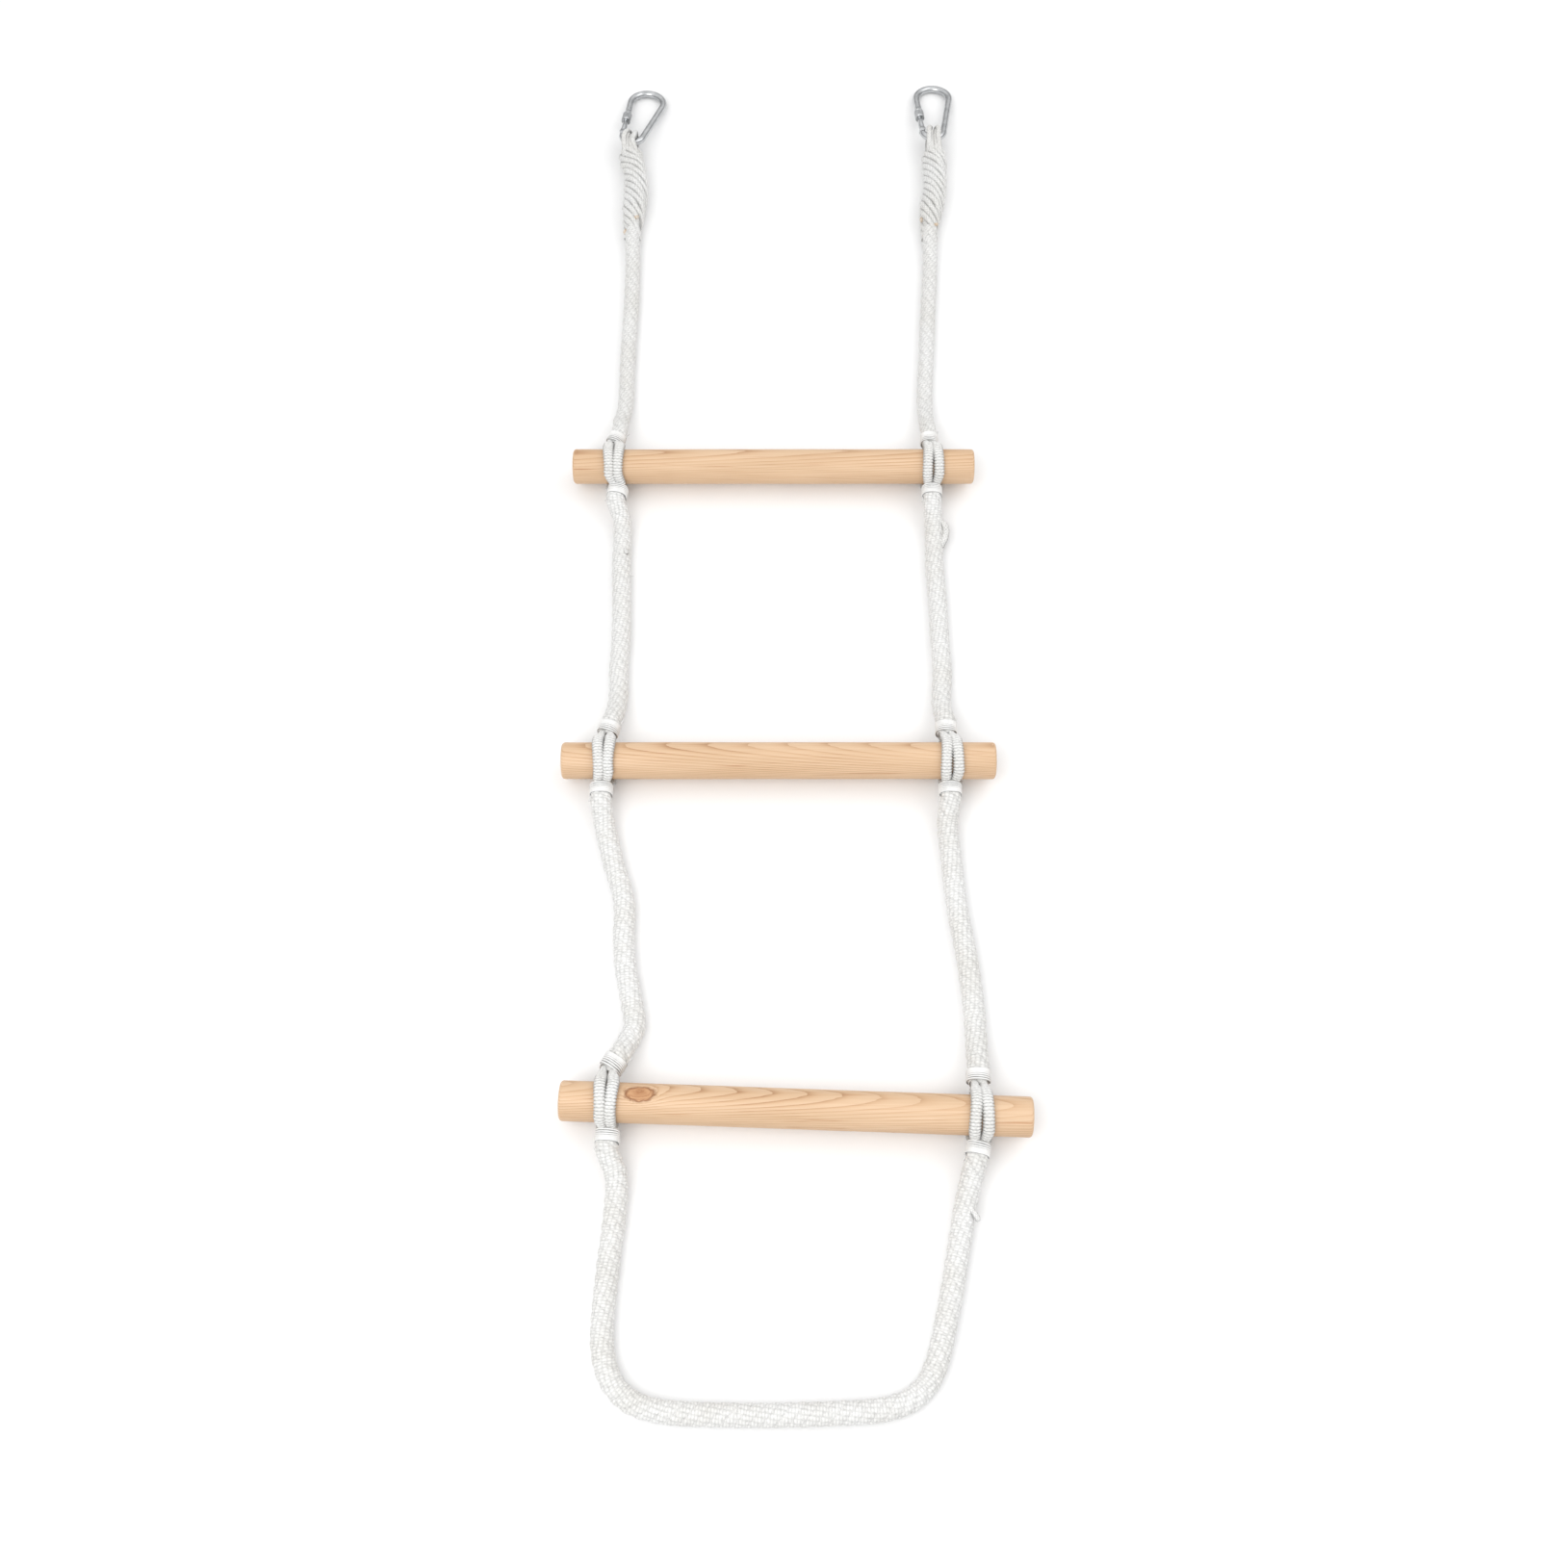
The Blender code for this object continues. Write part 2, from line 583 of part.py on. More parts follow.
def carabiner_gate(side, parent):
    start, along, lean = gate_line()
    pin = start + along * PIN_AT
    name = f"{side}_carabiner_gate"
    shank_from, shank_to = start + along * SHANK_START, start + along * SLEEVE_START
    shank = rod_mesh(name, shank_from, shank_to, GATE_SHANK_RADIUS, 20)
    obj = add_object(name, shank, steel, ladder, parent)
    thread_from, thread_to = start + along * THREAD_START, start + along * GATE_END
    thread = rod_mesh("thread", thread_from, thread_to, GATE_THREAD_RADIUS, 24)
    add_boolean(obj, "UNION", add_guide(f"{side}_gate_thread", thread, parent))
    half = Vector((0.0, 0.0, EAR_HEIGHT / 2))
    ears = rod_mesh("ears", pin - half, pin + half, EAR_RADIUS, 24)
    add_boolean(obj, "UNION", add_guide(f"{side}_gate_ears", ears, parent))
    slots = {
        "fork_slot": (FORK_SLOT, SLOT_HALF),
        "nose_slot": (NOSE_SLOT, SLOT_HALF),
        "nose_channel": (NOSE_CHANNEL, CHANNEL_HALF),
    }
    for slot, ((low, high), half_width) in slots.items():
        size = (SLOT_ACROSS, high - low, 2 * half_width)
        cutter = box_mesh(slot, start + along * (low + high) / 2, size, lean)
        add_boolean(obj, "DIFFERENCE", add_guide(f"{side}_{slot}", cutter, parent))
    reach = Vector((0.0, 0.0, HOLE_REACH))
    hole = rod_mesh("ear_hole", pin - reach, pin + reach, PIN_HOLE_RADIUS, 16)
    add_boolean(obj, "DIFFERENCE", add_guide(f"{side}_ear_pin_hole", hole, parent))
    bore_from, bore_to = start + along * BORE_START, start + along * BORE_END
    bore = rod_mesh("bore", bore_from, bore_to, BORE_RADIUS, 16)
    add_boolean(obj, "DIFFERENCE", add_guide(f"{side}_spring_bore", bore, parent))


def carabiner_small_parts(side, parent):
    start, along, lean = gate_line()
    pin = start + along * PIN_AT
    half = Vector((0.0, 0.0, EAR_HEIGHT / 2 - PIN_RECESS))
    name = f"{side}_hinge_pin"
    hinge_pin = rod_mesh(name, pin - half, pin + half, PIN_RADIUS, 12)
    add_object(name, hinge_pin, steel, ladder, parent)
    name = f"{side}_spring_plunger"
    plunger_from, plunger_to = start + along * PLUNGER_START, start + along * PLUNGER_END
    plunger = rod_mesh(name, plunger_from, plunger_to, PLUNGER_RADIUS, 12)
    add_object(name, plunger, steel, ladder, parent)
    name = f"{side}_gate_spring"
    across = Vector((math.cos(lean), math.sin(lean), 0.0))
    points = []
    steps_a_coil = 8
    steps = SPRING_COILS * steps_a_coil
    for step in range(steps + 1):
        angle = 2 * math.pi * step / steps_a_coil
        at = start + along * (SPRING_START + (SPRING_END - SPRING_START) * step / steps)
        out = across * math.cos(angle) + Vector((0.0, 0.0, math.sin(angle)))
        points.append(at + SPRING_RADIUS * out)
    add_object(name, tube_curve(name, points, SPRING_WIRE, 2), spring_steel, ladder, parent)
    name = f"{side}_lock_sleeve"
    top = SLEEVE_LENGTH / 2
    outer = SLEEVE_RADIUS
    inset = SLEEVE_RADIUS - SLEEVE_CHAMFER
    profile = [
        (inset, top), (outer, top - SLEEVE_CHAMFER), (outer, -top + SLEEVE_CHAMFER),
        (inset, -top), (SLEEVE_BORE, -top), (SLEEVE_BORE, top),
    ]
    obj = turned(name, profile, 24, steel, ladder, parent)
    obj.location = start + along * (SLEEVE_START + top)
    obj.rotation_euler = (-math.pi / 2, 0.0, lean)


def carabiner(side):
    """All its pieces hang from an empty at the narrow bow, on the carabiner's tilt axis."""
    x, y, turn = CARABINERS[side]
    drop = math.asin((BOW_Z - WIRE_RADIUS) / CENTRELINE_LENGTH)
    holder = bpy.data.objects.new(f"{side}_carabiner_axis", None)
    ladder.objects.link(holder)
    holder.location = (x, y, BOW_Z)
    holder.rotation_euler = (-drop, 0.0, turn)     # the wide bow rests on the floor
    carabiner_frame(side, holder)
    carabiner_gate(side, holder)
    carabiner_small_parts(side, holder)


clear_scene()
ladder = new_collection("rope_ladder")
guides = new_collection("guides")
wood = new_material("wood", (0.66, 0.45, 0.25), 0.5)
rope_white = new_material("rope", (0.75, 0.75, 0.74), 0.85)
thread_white = new_material("thread", (0.78, 0.78, 0.77), 0.8)
steel = new_material("plated_steel", (0.60, 0.61, 0.62), 0.25, 1.0)
spring_steel = new_material("spring_steel", (0.45, 0.45, 0.46), 0.35, 1.0)

for level in RUNGS:
    rung(level)
    for side in ("left", "right"):
        for front in (True, False):
            saddle(side, level, front)
        for above in (True, False):
            whipping(side, level, above)

left_ropes()
right_ropes()
bottom_loop()
for side in CARABINERS:
    splice(side)
    rope_eye(side)
    carabiner(side)
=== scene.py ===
import math
from itertools import accumulate

import bmesh
import bpy
from mathutils import Euler, Matrix, Vector, noise


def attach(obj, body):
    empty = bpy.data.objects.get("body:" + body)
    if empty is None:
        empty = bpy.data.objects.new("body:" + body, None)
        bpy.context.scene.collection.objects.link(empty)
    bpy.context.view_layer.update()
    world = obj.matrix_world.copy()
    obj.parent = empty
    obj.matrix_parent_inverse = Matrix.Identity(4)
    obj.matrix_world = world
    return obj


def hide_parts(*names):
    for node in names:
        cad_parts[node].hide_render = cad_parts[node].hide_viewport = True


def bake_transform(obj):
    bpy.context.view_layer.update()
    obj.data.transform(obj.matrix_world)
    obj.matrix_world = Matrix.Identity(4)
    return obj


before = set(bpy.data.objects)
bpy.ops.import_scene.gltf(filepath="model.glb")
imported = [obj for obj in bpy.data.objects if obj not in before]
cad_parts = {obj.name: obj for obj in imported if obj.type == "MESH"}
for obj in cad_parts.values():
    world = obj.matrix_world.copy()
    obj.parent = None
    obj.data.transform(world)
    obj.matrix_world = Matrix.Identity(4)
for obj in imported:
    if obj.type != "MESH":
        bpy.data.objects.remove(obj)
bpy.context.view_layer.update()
print("frame loaded:", len(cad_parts), "nodes")

sides = ("left", "right")
levels = ("upper", "middle", "lower")
upwards = Vector((0.0, 0.0, 1.0))

cameraSetup = {
    "place": (0.0, -0.981, 1.637),
    "downTilt": 63.33,  # degrees below the horizon
    "lens": 43.98,
}


def placed(name, data):
    thing = bpy.data.objects.new(name, data)
    bpy.context.scene.collection.objects.link(thing)
    return thing


def placeCamera():
    lens = bpy.data.cameras.new("camera")
    lens.lens = cameraSetup["lens"]
    lens.sensor_width = 36.0
    lens.clip_end = 30.0
    camera = placed("camera", lens)
    camera.location = cameraSetup["place"]
    camera.rotation_euler = (math.radians(90.0 - cameraSetup["downTilt"]), 0.0, 0.0)
    bpy.context.scene.camera = camera


placeCamera()

whipping = {
    "z": 0.022,
    "above": (0.030, 0.042),  # from the rung's axis along the rope
    "below": (0.024, 0.036),
    "thread": 0.0017,
    "turns": 7,
    "around": 36,
    "slant": 0.0016,  # how far a turn leans along the rope
}

rungPlaces = {  # centre x, centre y and turn about Z
    "upper": (-0.0107, 0.193, 0.0),
    "middle": (-0.0050, -0.147, 0.0),
    "lower": (0.0102, -0.487, math.radians(-2.06)),
}

crossings = {  # x of the whipping above, of the cords and of the whipping below
    "left_upper": (-0.1740, -0.1735, -0.1700),
    "right_upper": (0.1505, 0.1520, 0.1510),
    "left_middle": (-0.1675, -0.1695, -0.1720),
    "right_middle": (0.1550, 0.1580, 0.1565),
    "left_lower": (-0.1510, -0.1535, -0.1515),
    "right_lower": (0.1690, 0.1700, 0.1680),
}

rung = {
    "length": 0.410,
    "radius": 0.0175,
    "edge": 0.003,
    "z": 0.0258,
    "around": 72,
    "wear": 0.00009,  # how far the turned face is from true
}


def squareTo(level, x, along):  # a point above or below a rung's axis, square to the rung
    centreX, centreY, turn = rungPlaces[level]
    y = centreY + (x - centreX) * math.tan(turn) + along
    return Vector((x - along * math.sin(turn), y, whipping["z"]))


leans = {  # how far a whipping's outer end is to the side of its middle
    "left_upper_above": 0.0022,
    "left_middle_above": 0.0016,
    "left_lower_above": 0.0034,
    "right_lower_below": -0.0010,
    "left_upper_below": -0.0010,
}


def heldLine(side, level, where):  # where a whipping's two ends hold the rope
    near, far = whipping[where]
    way, at = (1, 0) if where == "above" else (-1, 2)
    x = crossings[f"{side}_{level}"][at]
    lean = leans.get(f"{side}_{level}_{where}", 0.0)
    return squareTo(level, x - lean, way * near), squareTo(level, x + lean, way * far)


def grip(side, level, where):  # the rope's straight run through a whipping, from the rung out
    near, far = heldLine(side, level, where)
    return [near, far + (far - near).normalized() * 0.003]


def flatLine(route, z):  # points given by x and y, at one height unless they have their own
    return [Vector(p) if len(p) == 3 else Vector((p[0], p[1], z)) for p in route]


legZ, upperZ, lowerZ = 0.00825, 0.0095, 0.0100

# each rope: diameter, one turn's length, the two bodies, the fold's y range and its route
ropes = {
    "left_leg": {
        "diameter": 0.0165, "lay": 0.060, "bodies": ("upper_section", "left_leg"),
        "fold": (0.430, 0.470),
        "stands": ("left_leg_lower_half", "left_leg_upper_half"),
        "route": grip("left", "upper", "above") + flatLine([
            (-0.1705, 0.2560, 0.0165), (-0.1675, 0.2760, 0.0105), (-0.1670, 0.3000),
            (-0.1670, 0.3600), (-0.1660, 0.4160), (-0.1660, 0.4500), (-0.1665, 0.4750, 0.0084),
            (-0.1672, 0.4930, 0.0098), (-0.1680, 0.5120, 0.0115), (-0.1680, 0.5250, 0.0120),
        ], legZ),
    },
    "right_leg": {
        "diameter": 0.0165, "lay": 0.060, "bodies": ("upper_section", "right_leg"),
        "fold": (0.430, 0.470),
        "stands": ("right_leg_lower_half", "right_leg_upper_half"),
        "route": grip("right", "upper", "above") + flatLine([
            (0.1490, 0.2560, 0.0160), (0.1485, 0.2760, 0.0105), (0.1490, 0.3000),
            (0.1530, 0.3600), (0.1565, 0.4160), (0.1590, 0.4500), (0.1605, 0.4750, 0.0084),
            (0.1612, 0.4930, 0.0098), (0.1615, 0.5120, 0.0115), (0.1620, 0.5250, 0.0120),
        ], legZ),
    },
    "left_upper_span": {
        "diameter": 0.0190, "lay": 0.047, "bodies": ("middle_section", "upper_section"),
        "fold": (0.003, 0.043),
        "stands": ("left_upper_span_top_half", "left_upper_span_bottom_half"),
        "route": grip("left", "middle", "above") + flatLine([
            (-0.1620, -0.0840, 0.0150), (-0.1610, -0.0600), (-0.1620, -0.0400),
            (-0.1610, -0.0100), (-0.1615, 0.0230), (-0.1625, 0.0500), (-0.1640, 0.0850),
            (-0.1640, 0.1100), (-0.1650, 0.1350, 0.0145),
        ], upperZ) + grip("left", "upper", "below")[::-1],
    },
    "right_upper_span": {
        "diameter": 0.0190, "lay": 0.047, "bodies": ("middle_section", "upper_section"),
        "fold": (0.003, 0.043),
        "stands": ("right_upper_span_top_half", "right_upper_span_bottom_half"),
        "route": grip("right", "middle", "above") + flatLine([
            (0.1525, -0.0840, 0.0150), (0.1535, -0.0600), (0.1550, -0.0400),
            (0.1540, -0.0100), (0.1535, 0.0230), (0.1530, 0.0500), (0.1515, 0.0850),
            (0.1525, 0.1100), (0.1520, 0.1350, 0.0145),
        ], upperZ) + grip("right", "upper", "below")[::-1],
    },
    "left_lower_span": {
        "diameter": 0.0200, "lay": 0.044, "bodies": ("middle_section", "lower_section"),
        "fold": (-0.297, -0.337),
        "stands": ("left_lower_span_top_half", "left_lower_span_bottom_half"),
        "route": grip("left", "middle", "below") + flatLine([
            (-0.1680, -0.2100, 0.0125), (-0.1580, -0.2490), (-0.1500, -0.2740),
            (-0.1465, -0.2950), (-0.1465, -0.3170), (-0.1440, -0.3480), (-0.1365, -0.3860),
            (-0.1335, -0.4080, 0.0115), (-0.1400, -0.4250, 0.0160),
        ], lowerZ) + grip("left", "lower", "above")[::-1],
    },
    "right_lower_span": {
        "diameter": 0.0200, "lay": 0.044, "bodies": ("middle_section", "lower_section"),
        "fold": (-0.297, -0.337),
        "stands": ("right_lower_span_top_half", "right_lower_span_bottom_half"),
        "route": grip("right", "middle", "below") + flatLine([
            (0.1535, -0.2080, 0.0130), (0.1560, -0.2440), (0.1580, -0.2740),
            (0.1600, -0.2980), (0.1630, -0.3170), (0.1670, -0.3480), (0.1700, -0.3820),
            (0.1710, -0.4040, 0.0105), (0.1705, -0.4280, 0.0150),
        ], lowerZ) + grip("right", "lower", "above")[::-1],
    },
    "foot_loop": {
        "diameter": 0.0200, "lay": 0.044, "bodies": ("lower_section", "loop"),
        "fold": (-0.532, -0.562),
        "stands": ("left_loop_tail", "right_loop_tail", "bottom_loop"),
        "route": grip("left", "lower", "below") + flatLine([
            (-0.1440, -0.5450, 0.0145), (-0.1445, -0.5740), (-0.1485, -0.6200),
            (-0.1510, -0.6600), (-0.1500, -0.6900), (-0.1410, -0.7150), (-0.1240, -0.7300),
            (-0.1000, -0.7370), (-0.0600, -0.7395), (-0.0100, -0.7400), (0.0400, -0.7385),
            (0.0780, -0.7360), (0.1020, -0.7290), (0.1180, -0.7150), (0.1270, -0.6960),
            (0.1340, -0.6700), (0.1410, -0.6400), (0.1480, -0.6050), (0.1540, -0.5740, 0.0110),
            (0.1610, -0.5450, 0.0170),
        ], lowerZ) + grip("right", "lower", "below")[::-1],
    },
}

braid = {
    "bundles": 7,  # plaits round a cord
    "stitch": 0.0034,
    "relief": 0.075,  # share of the cord's radius
    "around": 18,
    "step": 0.00105,
    "rib": 0.0028,  # a cord pulled tight over a rung shows ribs this far apart
}


def smoothLine(route, step):  # even points along the smooth curve through the route
    ends = [2 * route[0] - route[1]] + route + [2 * route[-1] - route[-2]]
    fine = []
    for before, here, there, after in zip(ends, ends[1:], ends[2:], ends[3:]):
        chord = (there - here).length
        leave = (there - before) * chord / ((here - before).length + chord)
        arrive = (after - here) * chord / (chord + (after - there).length)
        count = max(2, round(chord / 0.001))
        for index in range(count):
            t = index / count
            fine.append(
                here * (2 * t**3 - 3 * t**2 + 1) + leave * (t**3 - 2 * t**2 + t)
                + there * (3 * t**2 - 2 * t**3) + arrive * (t**3 - t**2)
            )
    fine.append(route[-1])
    total = distances(fine)[-1]
    count = max(2, round(total / step))
    even, walked, at = [fine[0]], 0.0, 0
    for index in range(1, count):
        target = total * index / count
        while walked + (fine[at + 1] - fine[at]).length < target:
            walked += (fine[at + 1] - fine[at]).length
            at += 1
        even.append(fine[at].lerp(fine[at + 1], (target - walked) / (fine[at + 1] - fine[at]).length))
    even.append(fine[-1])
    return even


def distances(line):  # how far along the line each point is
    return list(accumulate(((b - a).length for a, b in zip(line, line[1:])), initial=0.0))


def directions(line):
    ahead = [b - a for a, b in zip(line, line[2:])]
    runs = [line[1] - line[0]] + ahead + [line[-1] - line[-2]]
    return [run.normalized() for run in runs]


def levelWays(turn):  # level directions turned about Z, from X and from Y
    sine, cosine = math.sin(turn), math.cos(turn)
    return Vector((cosine, sine, 0.0)), Vector((-sine, cosine, 0.0))


def squareAxes(run):  # level and upward directions square to a run
    across = run.cross(upwards).normalized()
    return across, across.cross(run)


def aroundAt(across, up, angle):  # outwards from a cord at an angle, and the way round from there
    outwards = across * math.cos(angle) + up * math.sin(angle)
    return outwards, up * math.cos(angle) - across * math.sin(angle)


# a ring is its centre, its outward and sideways half axes, and how far along the cord it is
def rollTube(bm, uvLayer, rings, around, relief=None, closed=False):
    made = bmesh.ops.create_grid(bm, x_segments=around, y_segments=len(rings) - 1, size=0.5)
    verts = made["verts"]
    faces = {face for vert in verts for face in vert.link_faces}
    last = len(rings) - 1
    for face in faces:
        for loop in face.loops:
            place = loop.vert.co
            ring = rings[round((place.y + 0.5) * last)]
            loop[uvLayer].uv = ((place.x + 0.5) * braid["bundles"], ring[3] / braid["stitch"])
    seam, ends = [], []
    for vert in verts:
        turn, index = (vert.co.x + 0.5) * math.tau, round((vert.co.y + 0.5) * last)
        if abs(vert.co.x) > 0.4999:
            seam.append(vert)
        if index in (0, last):
            ends.append(vert)
        centre, out, across, along = rings[index]
        swell = 1.0 + relief(turn, along, index) if relief else 1.0
        vert.co = centre + (out * math.cos(turn) + across * math.sin(turn)) * swell
    bmesh.ops.remove_doubles(bm, verts=seam, dist=0.000001)
    ends = [vert for vert in ends if vert.is_valid]
    if closed:
        bmesh.ops.remove_doubles(bm, verts=ends, dist=0.000001)
    else:
        rims = {edge for vert in ends for edge in vert.link_edges if edge.is_boundary}
        bmesh.ops.holes_fill(bm, edges=list(rims), sides=0)


def newShape():
    bm = bmesh.new()
    return bm, bm.loops.layers.uv.new("along")


def finishShape(name, bm, material, sharp=50.0):
    mesh = bpy.data.meshes.new(name)
    bm.to_mesh(mesh)
    bm.free()
    mesh.shade_smooth()
    mesh.set_sharp_from_angle(angle=math.radians(sharp))
    mesh.materials.append(material)
    piece = placed(name, mesh)
    return piece


def plaited(turn, along, index):  # the stitches of a braided cord, as a share of its radius
    a = braid["bundles"] * turn / math.tau
    b = along / braid["stitch"]
    stitch = abs(math.sin(math.pi * (a + b)) * math.sin(math.pi * (a - b)))
    return braid["relief"] * (stitch - 0.45)


class Nodes:  # short ways to wire a material
    def __init__(self, name):
        self.material = bpy.data.materials.new(name)
        self.material.use_nodes = True
        self.tree = self.material.node_tree
        self.shader = self.tree.nodes["Principled BSDF"]
        self.coordinates = self.tree.nodes.new("ShaderNodeTexCoord")

    def wire(self, socket, value):
        if isinstance(value, bpy.types.NodeSocket):
            self.tree.links.new(value, socket)
        else:
            socket.default_value = value

    def maths(self, operation, first, second=0.0):
        node = self.tree.nodes.new("ShaderNodeMath")
        node.operation = operation
        self.wire(node.inputs[0], first)
        self.wire(node.inputs[1], second)
        return node.outputs[0]

    def mapped(self, scale=(1.0, 1.0, 1.0), place=(0.0, 0.0, 0.0), turn=(0.0, 0.0, 0.0)):
        node = self.tree.nodes.new("ShaderNodeMapping")
        self.wire(node.inputs["Vector"], self.coordinates.outputs["Object"])
        node.inputs["Location"].default_value = place
        node.inputs["Rotation"].default_value = turn
        node.inputs["Scale"].default_value = scale
        return node.outputs[0]

    def noise(self, scale, detail, stretch=(1.0, 1.0, 1.0)):
        vector = self.mapped(stretch)
        node = self.tree.nodes.new("ShaderNodeTexNoise")
        self.wire(node.inputs["Vector"], vector)
        node.inputs["Scale"].default_value = scale
        node.inputs["Detail"].default_value = detail
        node.inputs["Roughness"].default_value = 0.55
        return node.outputs["Fac"]

    def ramp(self, value, *stops):
        node = self.tree.nodes.new("ShaderNodeValToRGB")
        self.wire(node.inputs[0], value)
        elements = node.color_ramp.elements
        while len(elements) < len(stops):
            elements.new(0.5)
        for element, (place, colour) in zip(elements, stops):
            element.position = place
            element.color = (*colour, 1.0)
        return node.outputs[0]

    def darkened(self, colour, shade, share=1.0):
        node = self.tree.nodes.new("ShaderNodeMix")
        node.data_type = "RGBA"
        node.blend_type = "MULTIPLY"
        self.wire(node.inputs[0], share)
        self.wire(node.inputs[6], colour)
        self.wire(node.inputs[7], shade)
        return node.outputs[2]

    def bump(self, height, distance, strength=1.0):
        node = self.tree.nodes.new("ShaderNodeBump")
        node.inputs["Strength"].default_value = strength
        node.inputs["Distance"].default_value = distance
        self.wire(node.inputs["Height"], height)
        self.wire(self.shader.inputs["Normal"], node.outputs[0])

    def plus(self, first, second):
        return self.maths("ADD", first, second)

    def times(self, first, second):
        return self.maths("MULTIPLY", first, second)

    def wave(self, value, rate):
        return self.maths("ABSOLUTE", self.maths("SINE", self.times(value, rate)))

    def separated(self, vector):
        node = self.tree.nodes.new("ShaderNodeSeparateXYZ")
        self.wire(node.inputs[0], vector)
        return node.outputs

    def finish(self, colour, roughness):
        self.wire(self.shader.inputs["Base Color"], colour)
        self.wire(self.shader.inputs["Roughness"], roughness)

    def fixed(self, **values):
        for name, value in values.items():
            self.shader.inputs[name.replace("_", " ")].default_value = value


white = (1.0, 1.0, 1.0)


def paintedGrooveShade(nodes, alongUv, low, dark):  # painted shade: darker where a cord turns away beside its neighbour, in the groove between them
    crest = nodes.maths("COSINE", nodes.times(alongUv[0], math.tau / braid["bundles"]))
    return nodes.ramp(crest, (low, (dark, dark, dark)), (0.80, white))


def braidedMaterial(name, hollowShade, body, crown, roughness, ribs=0.0):
    nodes = Nodes(name)
    alongUv = nodes.separated(nodes.coordinates.outputs["UV"])
    first = nodes.plus(alongUv[0], alongUv[1])
    second = nodes.maths("SUBTRACT", alongUv[0], alongUv[1])
    halves, fibres = [], []
    for side in (first, second):  # four yarns lie side by side in each stitch
        halves.append(nodes.wave(side, math.pi))
        fibres.append(nodes.wave(side, 4 * math.pi))
    stitch = nodes.times(*halves)
    cell = nodes.plus(nodes.maths("FLOOR", first), nodes.maths("FLOOR", second))
    over = nodes.maths("PINGPONG", cell, 1.0)
    under = nodes.maths("SUBTRACT", 1.0, over)
    yarn = nodes.plus(nodes.times(fibres[0], over), nodes.times(fibres[1], under))
    fuzz = nodes.noise(900.0, 2.0)
    height = nodes.plus(stitch, nodes.times(yarn, 0.22))
    nodes.bump(nodes.plus(height, nodes.times(fuzz, 0.30)), 0.00026, 0.7)
    fleck = nodes.noise(430.0, 2.0)
    # partly painted shade: darker in the hollows between stitches, following the stitch height; the
    # fleck noise adds random tone
    tone = nodes.plus(nodes.times(stitch, 0.42), nodes.times(fleck, 0.85))
    tone = nodes.maths("SUBTRACT", tone, 0.12)
    colour = nodes.ramp(tone, (0.0, hollowShade), (0.42, body), (0.9, crown))
    handled = nodes.noise(22.0, 3.0)
    warm = nodes.ramp(handled, (0.35, (0.93, 0.92, 0.90)), (0.62, white))
    # painted shade in the grooves between the strands
    colour = nodes.darkened(colour, paintedGrooveShade(nodes, alongUv, 0.25, 0.60))
    if ribs:
        # painted shade in the gaps between the ribs
        ribPlace = nodes.plus(nodes.times(alongUv[1], braid["stitch"] / ribs), 0.5)
        band = nodes.wave(ribPlace, math.pi)
        ribGapShade = nodes.ramp(band, (0.10, (0.50, 0.50, 0.49)), (0.55, white))
        colour = nodes.darkened(colour, ribGapShade, 0.85)
    nodes.finish(nodes.darkened(colour, warm), nodes.plus(roughness, nodes.times(fuzz, 0.15)))
    nodes.fixed(Sheen_Weight=0.25, Sheen_Roughness=0.5, Specular_IOR_Level=0.35)
    return nodes.material


def threadMaterial():
    nodes = Nodes("whipping thread")
    fibre = nodes.noise(1600.0, 2.0, (1.0, 0.35, 1.0))
    nodes.bump(fibre, 0.0001, 0.6)
    tone = nodes.noise(120.0, 2.0)
    colour = nodes.ramp(tone, (0.3, (0.74, 0.74, 0.73)), (0.7, (0.88, 0.88, 0.87)))
    alongUv = nodes.separated(nodes.coordinates.outputs["UV"])
    # painted shade in the grooves between the thread's turns
    colour = nodes.darkened(colour, paintedGrooveShade(nodes, alongUv, 0.30, 0.40))
    nodes.finish(colour, nodes.plus(0.55, nodes.times(fibre, 0.25)))
    nodes.fixed(Sheen_Weight=0.15, Specular_IOR_Level=0.4)
    return nodes.material


growth = {
    "rings": 470.0,  # yearly rings in a metre
    "waver": 0.0022,  # how far a ring strays from round
    "knotNarrow": -15000.0,
    "knotPush": 0.006,
}


def knotNearness(nodes, knot):  # 1 in the knot's middle, 0 away from it
    squeezed = 0.55  # a knot is longer along the rung
    away = nodes.tree.nodes.new("ShaderNodeVectorMath")
    away.operation = "DISTANCE"
    nodes.wire(away.inputs[0], nodes.mapped((squeezed, 1.0, 1.0)))
    away.inputs[1].default_value = (knot[0] * squeezed, knot[1], knot[2])
    waver = nodes.maths("SUBTRACT", nodes.noise(260.0, 3.0), 0.5)
    gap = nodes.plus(away.outputs["Value"], nodes.times(waver, 0.004))
    return nodes.maths("EXPONENT", nodes.times(nodes.maths("POWER", gap, 2.0), growth["knotNarrow"]))


